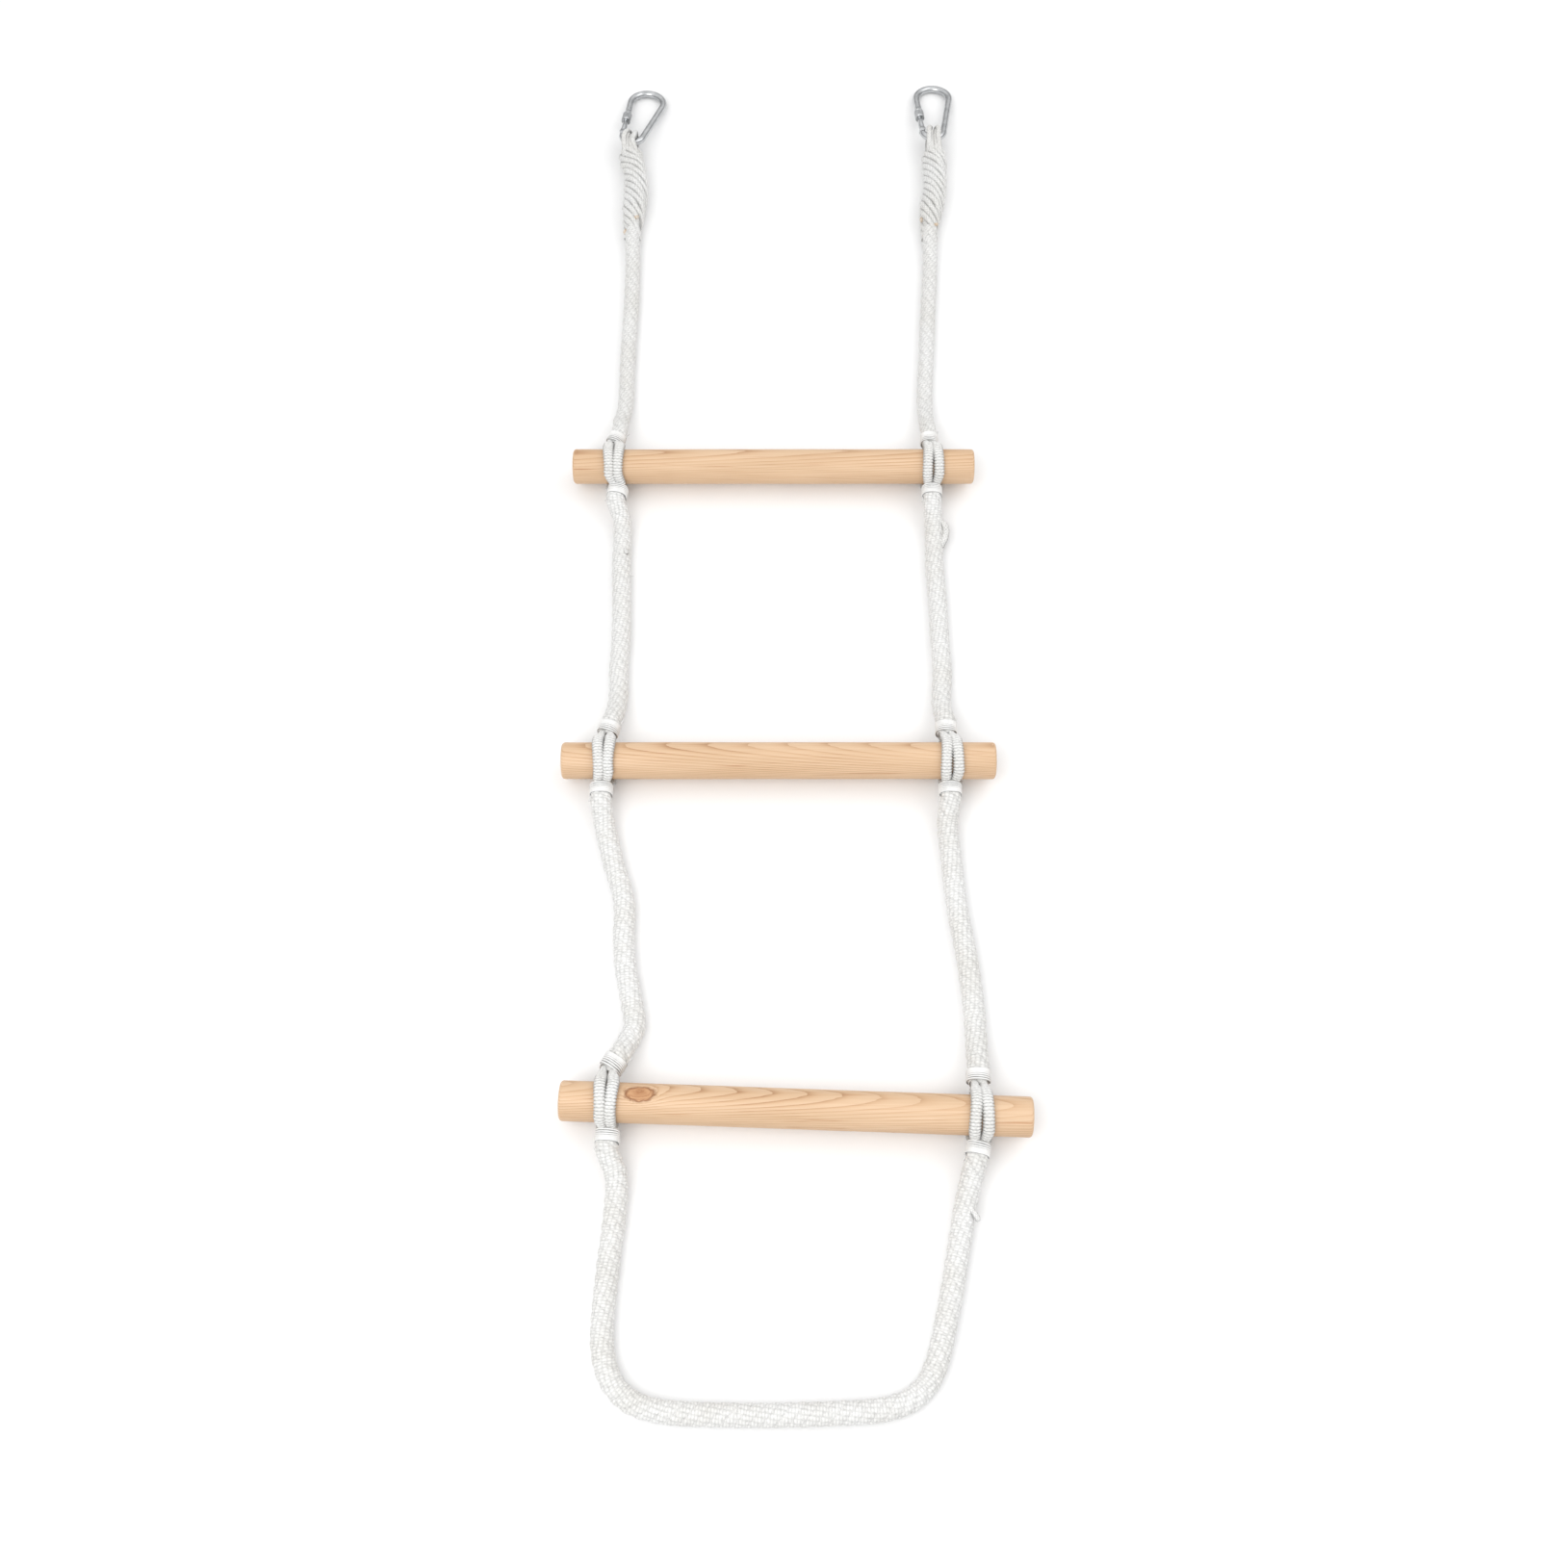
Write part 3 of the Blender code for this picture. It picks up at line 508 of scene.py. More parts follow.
def woodMaterial(name, heart, lean, knot):
    nodes = Nodes(name)
    place = nodes.separated(nodes.mapped(place=heart, turn=lean))
    slow = nodes.maths("SUBTRACT", nodes.noise(1.0, 2.0, (2.0, 40.0, 40.0)), 0.5)
    flat = nodes.plus(nodes.maths("POWER", place[1], 2.0), nodes.maths("POWER", place[2], 2.0))
    reach = nodes.plus(nodes.maths("SQRT", flat), nodes.times(slow, growth["waver"]))
    if knot:  # the rings bow out round it, and it is dark
        near = knotNearness(nodes, knot)
        reach = nodes.plus(reach, nodes.times(near, growth["knotPush"]))
    saw = nodes.maths("FRACT", nodes.times(reach, growth["rings"]))
    late = nodes.maths("POWER", saw, 3.0)  # early wood darkens to a late line, then starts again
    fibre = nodes.noise(1.0, 3.0, (14.0, 900.0, 900.0))
    patch = nodes.noise(1.0, 3.0, (5.0, 55.0, 55.0))
    streaks = nodes.noise(1.0, 2.0, (9.0, 330.0, 330.0))
    fade = nodes.noise(1.0, 2.0, (7.0, 30.0, 30.0))
    lines = nodes.times(late, nodes.times(fade, 0.85))
    grain = nodes.plus(lines, nodes.times(fibre, 0.50))
    colour = nodes.ramp(
        grain, (0.10, (0.78, 0.57, 0.385)), (0.42, (0.69, 0.465, 0.29)), (0.85, (0.44, 0.23, 0.115)),
    )
    shade = nodes.ramp(patch, (0.30, (0.88, 0.85, 0.80)), (0.65, white))
    colour = nodes.darkened(colour, shade, 0.9)
    resin = nodes.ramp(streaks, (0.24, (0.66, 0.42, 0.28)), (0.36, white))
    colour = nodes.darkened(colour, resin, 0.75)
    if knot:
        ring = nodes.ramp(
            near, (0.34, white), (0.52, (0.38, 0.22, 0.13)),
            (0.66, (0.82, 0.64, 0.50)), (0.92, (0.70, 0.50, 0.36)),
        )
        colour = nodes.darkened(colour, ring, 0.9)
    nodes.bump(nodes.plus(nodes.times(late, -0.5), nodes.times(fibre, 0.6)), 0.00012, 0.7)
    nodes.finish(colour, nodes.plus(0.42, nodes.times(fibre, 0.25)))
    nodes.fixed(Specular_IOR_Level=0.4)
    return nodes.material


def steelMaterial(name, bright, dull, roughness):
    nodes = Nodes(name)
    cloud = nodes.noise(140.0, 4.0)
    scratch = nodes.noise(2200.0, 2.0, (1.0, 0.12, 1.0))
    worn = nodes.plus(nodes.times(cloud, 0.16), nodes.times(scratch, 0.10))
    nodes.finish(nodes.ramp(cloud, (0.32, dull), (0.66, bright)), nodes.plus(roughness, worn))
    nodes.bump(scratch, 0.00003, 0.35)
    nodes.fixed(Metallic=1.0)
    return nodes.material


def scorchedMaterial():
    nodes = Nodes("melted tip")
    blot = nodes.noise(420.0, 3.0)
    colour = nodes.ramp(
        blot, (0.35, (0.42, 0.29, 0.18)), (0.50, (0.60, 0.48, 0.36)), (0.66, (0.74, 0.70, 0.64)),
    )
    nodes.bump(blot, 0.0005, 0.8)
    nodes.finish(colour, nodes.plus(0.25, nodes.times(blot, 0.4)))
    return nodes.material


def floorMaterial():
    nodes = Nodes("pale floor")
    nodes.fixed(Base_Color=(0.90, 0.90, 0.90, 1.0), Roughness=0.9, Specular_IOR_Level=0.1)
    return nodes.material


ropeCloth = braidedMaterial(
    "braided cord", (0.44, 0.44, 0.43), (0.70, 0.70, 0.69), (0.92, 0.92, 0.91), 0.5,
)
tightCloth = braidedMaterial(
    "tight cord", (0.56, 0.56, 0.55), (0.78, 0.78, 0.77), (0.92, 0.92, 0.91), 0.5, ribs=braid["rib"],
)
thread = threadMaterial()
steel = steelMaterial("plated steel", (0.62, 0.63, 0.64), (0.47, 0.48, 0.49), 0.10)
springSteel = steelMaterial("spring steel", (0.48, 0.48, 0.49), (0.36, 0.36, 0.37), 0.28)
scorched = scorchedMaterial()
print("materials made")

fourStrand = {
    "flatten": 1.02,  # a strand is this much wider than it is thick
    "waver": 0.00022,
    "slack": 0.94,  # a strand's share of the radius at which the four would touch
    "spread": 0.32,  # about where a strand's middle lies, as a share of the rope's diameter
    "plaitStretch": 1.15,
}


def strandRadius(diameter, turns, length):
    away = diameter * fourStrand["spread"]
    steep = math.hypot(1.0, math.tau * turns * away / length)
    spread = math.sqrt(2.0) / steep
    return diameter * spread / (2 + spread) * fourStrand["slack"]


# rings for one of the strands laid round a line
def strandRings(line, diameter, turns, which):
    walks = distances(line)
    radius = strandRadius(diameter, turns, walks[-1])
    away = diameter / 2 - radius
    rate = math.tau * turns / walks[-1]
    rings = []
    for point, run, walked in zip(line, directions(line), walks):
        across, up = squareAxes(run)
        out, onwards = aroundAt(across, up, math.radians(45.0 + 90.0 * which) + rate * walked)
        drift = noise.noise(Vector((walked * 38.0, which * 7.3, diameter * 900.0)))
        strandRun = (run + onwards * rate * away).normalized()
        wide = strandRun.cross(out).normalized() * radius * fourStrand["flatten"]
        centre = point + out * (away + drift * fourStrand["waver"])
        along = walked * fourStrand["plaitStretch"] + which * 0.0011
        rings.append((centre, out * radius, wide, along))
    return rings


def makeRope(name, setup):
    line = smoothLine(setup["route"], braid["step"])
    length = distances(line)[-1]
    turns = round(length / setup["lay"] * 4) / 4
    bm, uvLayer = newShape()
    for which in range(4):
        rings = strandRings(line, setup["diameter"], turns, which)
        rollTube(bm, uvLayer, rings, braid["around"], plaited)
    piece = finishShape(name, bm, ropeCloth, 75.0)
    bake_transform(piece)
    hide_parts(*setup["stands"])
    return piece


for name, setup in ropes.items():
    makeRope(name, setup)
print("ropes laid")

crossing = {
    "bend": 0.0215,  # from the rung's axis to the cord's centre
    "thick": 0.0037,
    "wide": 0.0052,
    "held": 0.0034,  # radius inside a whipping
    "apart": 0.0050,
    "heldApart": 0.0037,
    "step": 0.0006,
    "ribDepth": 0.11,
    "grip": 0.027,  # from the rung's axis to where the whippings let the cords widen
    "widening": 0.010,
}


def ribbed(turn, along, index):
    wave = math.cos(math.tau * along / braid["rib"])
    return crossing["ribDepth"] * (abs(wave) ** 0.7 * (1 if wave > 0 else -1) - 0.2)


# the rope's four cords part round a rung, two in front of it and two behind
def makeCrossing(side, level, front):
    key = f"{side}_{level}"
    face = "front" if front else "back"
    way = 1 if front else -1
    rungWay, alongWay = levelWays(rungPlaces[level][2])
    middle = squareTo(level, crossings[key][1], 0.0)
    middle.z = rung["z"]
    held = whipping["z"] - rung["z"] + way * crossing["heldApart"]

    def underWhipping(where, aside):  # two places inside a whipping, the outer one first
        near, far = heldLine(side, level, where)
        places = (near.lerp(far, 0.85), near)
        return [Vector((place.x, place.y, rung["z"] + held)) + aside for place in places]

    bm, uvLayer = newShape()
    for beside in (-1, 1):
        aside = rungWay * beside * crossing["heldApart"]
        route = underWhipping("above", aside)
        for degrees in (52, 72, 90, 108, 128, 148):
            angle = math.radians(degrees)
            lean = 0.0008 * math.sin(2 * angle) * beside * (1 if side == "left" else -1)
            off = rungWay * (beside * crossing["apart"] + lean)
            rise = upwards * way * crossing["bend"] * math.sin(angle)
            route.append(middle + alongWay * crossing["bend"] * math.cos(angle) + rise + off)
        route += underWhipping("below", aside)[::-1]
        line = smoothLine(route, crossing["step"])
        rings = []
        for point, run, walked in zip(line, directions(line), distances(line)):
            fromAxis = abs((point - middle).dot(alongWay))
            share = max(0.0, min(1.0, (crossing["grip"] - fromAxis) / crossing["widening"]))
            share = share * share * (3 - 2 * share)
            out = rungWay.cross(run).normalized() * -way
            across = run.cross(out)
            thick = crossing["held"] + (crossing["thick"] - crossing["held"]) * share
            wide = crossing["held"] + (crossing["wide"] - crossing["held"]) * share
            rings.append((point, out * thick, across * wide, walked + beside * 0.0009))
        rollTube(bm, uvLayer, rings, 22, ribbed)
    piece = finishShape(f"{key}_{face}_pair", bm, tightCloth, 75.0)
    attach(piece, f"{level}_section")
    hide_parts(f"{key}_{face}_cords")


def ropeThickness(level, where):
    if level == "upper":
        return 0.0165 if where == "above" else 0.0190
    return 0.0190 if level == "middle" and where == "above" else 0.0200


# wound thread, drawn tight over the four cords so that it is a rounded square
def makeWhipping(side, level, where):
    first, last = heldLine(side, level, where)
    reach = (last - first).length
    run = (last - first).normalized()
    across, up = squareAxes(run)
    wire = whipping["thread"] / 2
    bundle = ropeThickness(level, where) / 2 + 0.0002
    count = whipping["turns"] * whipping["around"]
    outwards, centres = [], []
    for index in range(count + 1):
        share = index / count
        angle = math.tau * whipping["turns"] * share
        square = 1.0 - 0.07 * math.cos(2 * angle) ** 2
        loose = 1.0 + 0.014 * noise.noise(Vector((share * 40.0, first.x * 50.0, first.y * 10.0)))
        out, _ = aroundAt(across, up, angle)
        lean = whipping["slant"] * math.sin(angle) * math.sin(math.pi * share)
        along = (wire + (reach - 2 * wire) * share) + lean
        centres.append(first + run * along + out * (bundle * square * loose + wire * 0.7))
        outwards.append(out)
    bm, uvLayer = newShape()

    def rollThread(line, outwards, high, wide):
        rings = []
        for point, travel, walked, outward in zip(line, directions(line), distances(line), outwards):
            out = (outward - travel * outward.dot(travel)).normalized()
            rings.append((point, out * high, travel.cross(out) * wide, walked))
        rollTube(bm, uvLayer, rings, 8)

    rollThread(centres, outwards, wire, wire * 1.08)
    end = centres[-1]
    lifted = end + run * 0.0030 + up * 0.0006
    tail = smoothLine([end, lifted, end + run * 0.0062 + across * 0.0010], 0.0006)
    rollThread(tail, [up] * len(tail), wire * 0.8, wire * 0.8)
    piece = finishShape(f"{side}_{level}_winding_{where}", bm, thread, 75.0)
    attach(piece, f"{level}_section")
    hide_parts(f"{side}_{level}_whipping_{where}")


for side in sides:
    for level in levels:
        makeCrossing(side, level, True)
        makeCrossing(side, level, False)
        makeWhipping(side, level, "above")
        makeWhipping(side, level, "below")
print("cords and whippings made")

woods = {  # the tree's heart beside the dowel, how it leans, and a knot on the lower rung
    "upper": ((0.0, -0.165, 0.030), (0.0, 0.035, 0.020), None),
    "middle": ((0.0, 0.178, 0.022), (0.0, -0.045, 0.030), None),
    "lower": ((0.0, 0.512, 0.012), (0.0, 0.030, -0.045), (-0.1240, -0.4790, 0.0420)),
}


def makeRung(level):
    centreX, centreY, turn = rungPlaces[level]
    middle = Vector((centreX, centreY, rung["z"]))
    run, _ = levelWays(turn)
    out = upwards
    across = run.cross(out)
    half, radius, edge = rung["length"] / 2, rung["radius"], rung["edge"]
    stops = [(-half, 0.0009), (-half, radius * 0.5)]
    for degrees in (0, 18, 36, 54, 72, 90):
        angle = math.radians(degrees)
        stops.append((-half + edge - edge * math.cos(angle), radius - edge + edge * math.sin(angle)))
    steps = 96
    for index in range(1, steps):
        stops.append((-half + edge + 2 * (half - edge) * index / steps, radius))
    stops += [(-along, size) for along, size in stops[:8][::-1]]
    rings = [(middle + run * along, out * size, across * size, along) for along, size in stops]

    def turned(angle, along, index):
        if not 4 < index < len(stops) - 5:
            return 0.0
        low, high = math.cos(angle) * 1.7, math.sin(angle) * 1.7 + centreY * 9
        wave = noise.noise(Vector((along * 14.0, low, high)))
        line = noise.noise(Vector((along * 5.0, math.cos(angle) * 16.0, math.sin(angle) * 16.0)))
        return (wave * 1.6 + line) * rung["wear"] / radius * 1.5

    bm, uvLayer = newShape()
    rollTube(bm, uvLayer, rings, rung["around"], turned)
    material = woodMaterial(f"{level} rung wood", *woods[level])
    piece = finishShape(f"{level}_wooden_rung", bm, material)
    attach(piece, f"{level}_section")
    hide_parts(f"{level}_rung")


for level in levels:
    makeRung(level)
print("rungs turned")

splice = {
    "start": 0.5120,
    "end": 0.6390,
    "thin": 0.0098,
    "thick": 0.0143,
    "swell": 0.035,
    "closing": 0.010,  # it draws in again under the bow
    "turnLength": 0.078,
    "lift": 0.0008,  # how far a cord rises and dips as it goes over and under
    "cordThick": 0.0036,
    "cordWide": 0.0036,
    "core": 0.70,
    "level": 0.034,  # over this length below the bow its middle stays at one height
    "tails": (4, 9, 16, 24),  # where the tucked cords end, in steps up from the foot
    "tip": 0.0028,
    "tipRise": 0.0013,
    "routes": {
        "left": [
            (-0.1680, 0.5120), (-0.1680, 0.5400), (-0.1660, 0.5800),
            (-0.1685, 0.6080), (-0.1735, 0.6270), (-0.1740, 0.6390),
        ],
        "right": [
            (0.1615, 0.5120), (0.1625, 0.5400), (0.1685, 0.5800),
            (0.1700, 0.6080), (0.1700, 0.6270), (0.1700, 0.6390),
        ],
    },
    "tipAngles": {"left": -10.0, "right": 100.0},  # where the lowest tucked tail ends
}


def spliceSize(y):
    share = max(0.0, min(1.0, (y - splice["start"] - 0.004) / splice["swell"]))
    size = splice["thin"] + (splice["thick"] - splice["thin"]) * share
    closing = max(0.0, (y - splice["end"] + splice["closing"]) / splice["closing"])
    return size - 0.0038 * closing * closing


def melted(turn, along, index):
    return 0.10 * noise.noise(Vector((math.cos(turn) * 2.2, math.sin(turn) * 2.2, index * 0.9)))


# the four laid cords with the four tucked back beside them, each dipping under the next
def makeSplice(side):
    line = smoothLine([Vector((x, y, spliceSize(y))) for x, y in splice["routes"][side]], braid["step"])
    for point in line:
        top = point.y > splice["end"] - splice["level"]
        point.z = splice["thick"] if top else spliceSize(point.y)
    runs = directions(line)
    rate = math.tau / splice["turnLength"]
    bm, uvLayer = newShape()
    tips, tipLayer = newShape()
    for which in range(8):
        rings = []
        for point, run, walked in zip(line, runs, distances(line)):
            across, up = squareAxes(run)
            angle = math.pi / 4 * which + rate * walked + math.radians(splice["tipAngles"][side])
            size = spliceSize(point.y)
            full = size / splice["thick"]
            thick = splice["cordThick"] * (0.5 + 0.5 * full)
            lift = splice["lift"] * math.cos(2.5 * rate * walked + math.pi * which + 0.5 * (which // 2))
            away = size - thick - splice["lift"] + lift
            out, onwards = aroundAt(across, up, angle)
            travel = (run + onwards * rate * away).normalized()
            wide = travel.cross(out).normalized() * splice["cordWide"] * (0.35 + 0.65 * full)
            rings.append((point + out * away, out * thick, wide, walked * 1.2 + which * 0.0013))
        if which % 2:  # a tucked cord starts further up, at a melted end that stands out a little
            rings = rings[splice["tails"][which // 2]:]
            rollTube(tips, tipLayer, meltedEnd(rings), 16, melted)
        rollTube(bm, uvLayer, rings, braid["around"], plaited)
    rings = []
    for index, (point, run) in enumerate(zip(line[::3], runs[::3])):
        across, up = squareAxes(run)
        core = spliceSize(point.y) * splice["core"]
        rings.append((point, up * core, -across * core, index * braid["step"] * 3))
    rollTube(bm, uvLayer, rings, 24, plaited)
    piece = finishShape(f"{side}_back_splice", bm, ropeCloth, 75.0)
    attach(piece, f"{side}_leg")
    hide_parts(f"{side}_splice")
    ends = finishShape(f"{side}_melted_tips", tips, scorched)
    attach(ends, f"{side}_leg")


def meltedEnd(rings):
    centre, out, across, _ = rings[0]
    back = (centre - rings[2][0]).normalized()
    stub = []
    for share in (1.0, 0.9, 0.7, 0.4, 0.1, -0.2):
        beyond = max(0.0, share)
        shrink = 1.04 * math.sqrt(max(0.06, 1.0 - beyond ** 3))
        place = centre + back * splice["tip"] * share + out.normalized() * splice["tipRise"] * beyond
        stub.append((place, out * shrink, across * shrink, 0.0))
    return stub


carabinerPlaces = {  # x and y of the narrow bow, and turn about Z
    "left": (-0.1750, 0.6490, math.radians(-13.0)),
    "right": (0.1698, 0.6552, math.radians(-2.0)),
}
bowZ = 0.0185

eye = {  # each pair: how far it passes from the wire on top and inside the bow, and how far apart
    "inner": {
        "top": 0.0079, "inside": 0.0068, "apartTop": 0.0029, "apartInside": 0.0034, "foot": 0.0034,
    },
    "outer": {
        "top": 0.0108, "inside": 0.0118, "apartTop": 0.0054, "apartInside": 0.0036, "foot": 0.0078,
    },
    "thick": 0.0027,
    "wide": 0.0030,
}


# four cords go up from the splice, round the bow and back
def makeEye(side):
    x, y, turn = carabinerPlaces[side]
    lateral, along = levelWays(turn)
    bow = Vector((x, y, bowZ))
    footX, footY = splice["routes"][side][-1]
    bm, uvLayer = newShape()
    for pair in ("inner", "outer"):
        setup = eye[pair]
        for beside in (-1, 1):
            route = []
            foot = Vector((footX + beside * setup["foot"] * 0.8, footY - 0.014, 0.0))
            route.append(foot + upwards * 0.0190)
            route.append(foot + upwards * 0.0222 + Vector((0.0, 0.007, 0.0)))
            apart = beside * setup["apartTop"] * 0.93
            route.append(bow - along * 0.0050 + lateral * apart + upwards * (setup["top"] - 0.0006))
            for degrees in (90, 62, 30, 0, -30, -62, -90):
                angle = math.radians(degrees)
                inside = math.cos(angle) ** 2
                reach = setup["top"] + (setup["inside"] - setup["top"]) * inside
                apart = setup["apartTop"] + (setup["apartInside"] - setup["apartTop"]) * inside
                rise = upwards * reach * math.sin(angle)
                route.append(bow + along * reach * math.cos(angle) + rise + lateral * beside * apart)
            apart = beside * setup["apartTop"]
            route.append(bow - along * 0.0085 + lateral * apart - upwards * (setup["top"] - 0.0010))
            low = Vector((footX + beside * setup["foot"], footY - 0.005, 0.0088))
            route.append(low)
            route.append(low - Vector((0.0, 0.009, 0.0)))
            line = smoothLine(route, braid["step"])
            rings = []
            for point, run, walked in zip(line, directions(line), distances(line)):
                out = lateral.cross(run).normalized()
                across = run.cross(out) * eye["wide"]
                rings.append((point, out * eye["thick"], across, walked + beside * 0.0012))
            rollTube(bm, uvLayer, rings, 20, plaited)
    piece = finishShape(f"{side}_eye_cords", bm, ropeCloth, 75.0)
    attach(piece, f"{side}_leg")
    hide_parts(f"{side}_rope_eye")


for side in sides:
    makeSplice(side)
    makeEye(side)
print("splices and eyes made")

carabiner = {
    "wire": 0.0039,
    "narrowBow": 0.012,
    "wideBow": 0.019,
    "length": 0.0922,
    "wireStart": -0.0022,
    "pinAt": 0.0020,
    "noseStart": 0.0428,
    "noseHigh": 0.0458,
    "noseLow": 0.0384,
    "noseWidth": 0.0040,
    "noseHead": 0.0396,
    "headRadius": 0.0012,
    "headLength": 0.0054,
    "tang": 0.0030,
    "tangRadius": 0.0034,
    "tangWidth": 0.0058,
    "tangLength": 0.0065,
    "spineSteps": 24,
}

gate = {
    "shankStart": 0.0066,
    "threadStart": 0.0243,
    "slotStart": 0.0377,
    "end": 0.0423,
    "shank": 0.0031,
    "thread": 0.0039,
    "pitch": 0.0008,
    "threadDepth": 0.035,
    "ear": 0.0036,
    "earHeight": 0.0074,
    "cheek": 0.0030,  # from the middle to a cheek's outer face
    "cheekWidth": 0.0056,
    "overlap": 0.0004,
    "slotHalf": 0.0018,
}

sleeve = {
    "start": 0.0245,
    "length": 0.0130,
    "outer": 0.0053,
    "bore": 0.00425,
    "chamfer": 0.0007,
    "ridges": 26,
    "ridge": 0.045,
    "groove": 0.955,
    "knurlEdge": 0.0023,
}


def carabinerPlace(side):
    x, y, turn = carabinerPlaces[side]
    drop = math.asin((bowZ - carabiner["wire"]) / carabiner["length"])
    return Matrix.Translation((x, y, bowZ)) @ Euler((-drop, 0.0, turn)).to_matrix().to_4x4()


def gateLine():  # start, direction and lean of the gate's straight side
    rise = carabiner["length"] - carabiner["narrowBow"] - carabiner["wideBow"]
    lean = math.asin((carabiner["wideBow"] - carabiner["narrowBow"]) / rise)
    outwards = Vector((-math.cos(lean), -math.sin(lean), 0.0))
    start = Vector((0.0, carabiner["narrowBow"], 0.0)) + carabiner["narrowBow"] * outwards
    return start, Vector((-math.sin(lean), math.cos(lean), 0.0)), lean


def roundBar(bm, centre, direction, radius, length, soften, segments=32):
    turn = direction.to_track_quat("Z", "Y").to_matrix().to_4x4()
    made = bmesh.ops.create_cone(
        bm, cap_ends=True, segments=segments, radius1=radius, radius2=radius, depth=length,
        matrix=Matrix.Translation(centre) @ turn,
    )
    edges = dict.fromkeys(e for v in made["verts"] for e in v.link_edges)
    rims = [e for e in edges if e.calc_face_angle(0.0) > 1.2]
    bmesh.ops.bevel(
        bm, geom=rims, offset=soften, segments=2, profile=0.5, affect="EDGES", material=-1,
    )


def softBlock(bm, centre, size, lean, soften):
    place = Matrix.Translation(centre) @ Matrix.Rotation(lean, 4, "Z") @ Matrix.Diagonal((*size, 1.0))
    made = bmesh.ops.create_cube(bm, size=1.0, matrix=place)
    edges = dict.fromkeys(e for v in made["verts"] for e in v.link_edges)
    bmesh.ops.bevel(
        bm, geom=list(edges), offset=soften, segments=2, profile=0.5, affect="EDGES", material=-1,
    )


def arc(radius, centreY, first, last, count):
    points = []
    for index in range(count + 1):
        angle = first + (last - first) * index / count
        points.append(Vector((radius * math.cos(angle), centreY + radius * math.sin(angle), 0.0)))
    return points


def makeFrame(side):
    start, along, lean = gateLine()
    narrow, wide = carabiner["narrowBow"], carabiner["wideBow"]
    line = arc(narrow, narrow, math.pi + lean - carabiner["wireStart"] / narrow, math.tau - lean, 44)
    bow = arc(wide, carabiner["length"] - wide, -lean, math.pi + lean, 64)
    foot, steps = line[-1], carabiner["spineSteps"]
    line += [foot.lerp(bow[0], index / steps) for index in range(1, steps)] + bow
    top, nose = line[-1].copy(), start + along * carabiner["noseStart"]
    line += [top.lerp(nose, index / 12) for index in range(1, 13)]
    rings = []
    runs = directions(line)
    for index, (point, run) in enumerate(zip(line, runs)):
        size = carabiner["wire"]
        rounded = [(0.0, 1.0)]
        if index == 0:  # the wire's cut ends are eased
            rounded = [(0.0, 0.80), (0.0002, 0.94), (0.0007, 1.0)]
        elif index == len(line) - 1:
            rounded = [(-0.0007, 1.0), (-0.0002, 0.94), (0.0, 0.80)]
        for offset, shrink in rounded:
            wide, high = run.cross(upwards) * size * shrink, upwards * size * shrink
            rings.append((point + run * offset, high, wide, 0.0))
    bm, uvLayer = newShape()
    rollTube(bm, uvLayer, rings, 32)
    tang = carabiner["tang"]
    pin = start + along * carabiner["pinAt"]
    roundBar(bm, pin, upwards, carabiner["tangRadius"], tang, 0.0002)
    reach = carabiner["tangLength"]
    softBlock(bm, pin - along * reach / 2, (carabiner["tangWidth"], reach, tang), lean, 0.0002)
    low, high = carabiner["noseLow"], carabiner["noseHigh"]
    size = (carabiner["noseWidth"], high - low, tang)
    softBlock(bm, start + along * (low + high) / 2, size, lean, 0.0003)
    head = start + along * carabiner["noseHead"]
    roundBar(bm, head, upwards, carabiner["headRadius"], carabiner["headLength"], 0.0002, 20)
    bmesh.ops.transform(bm, matrix=carabinerPlace(side), verts=bm.verts)
    piece = finishShape(f"{side}_bent_frame", bm, steel, 40.0)
    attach(piece, f"{side}_carabiner")
    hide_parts(f"{side}_carabiner_frame")


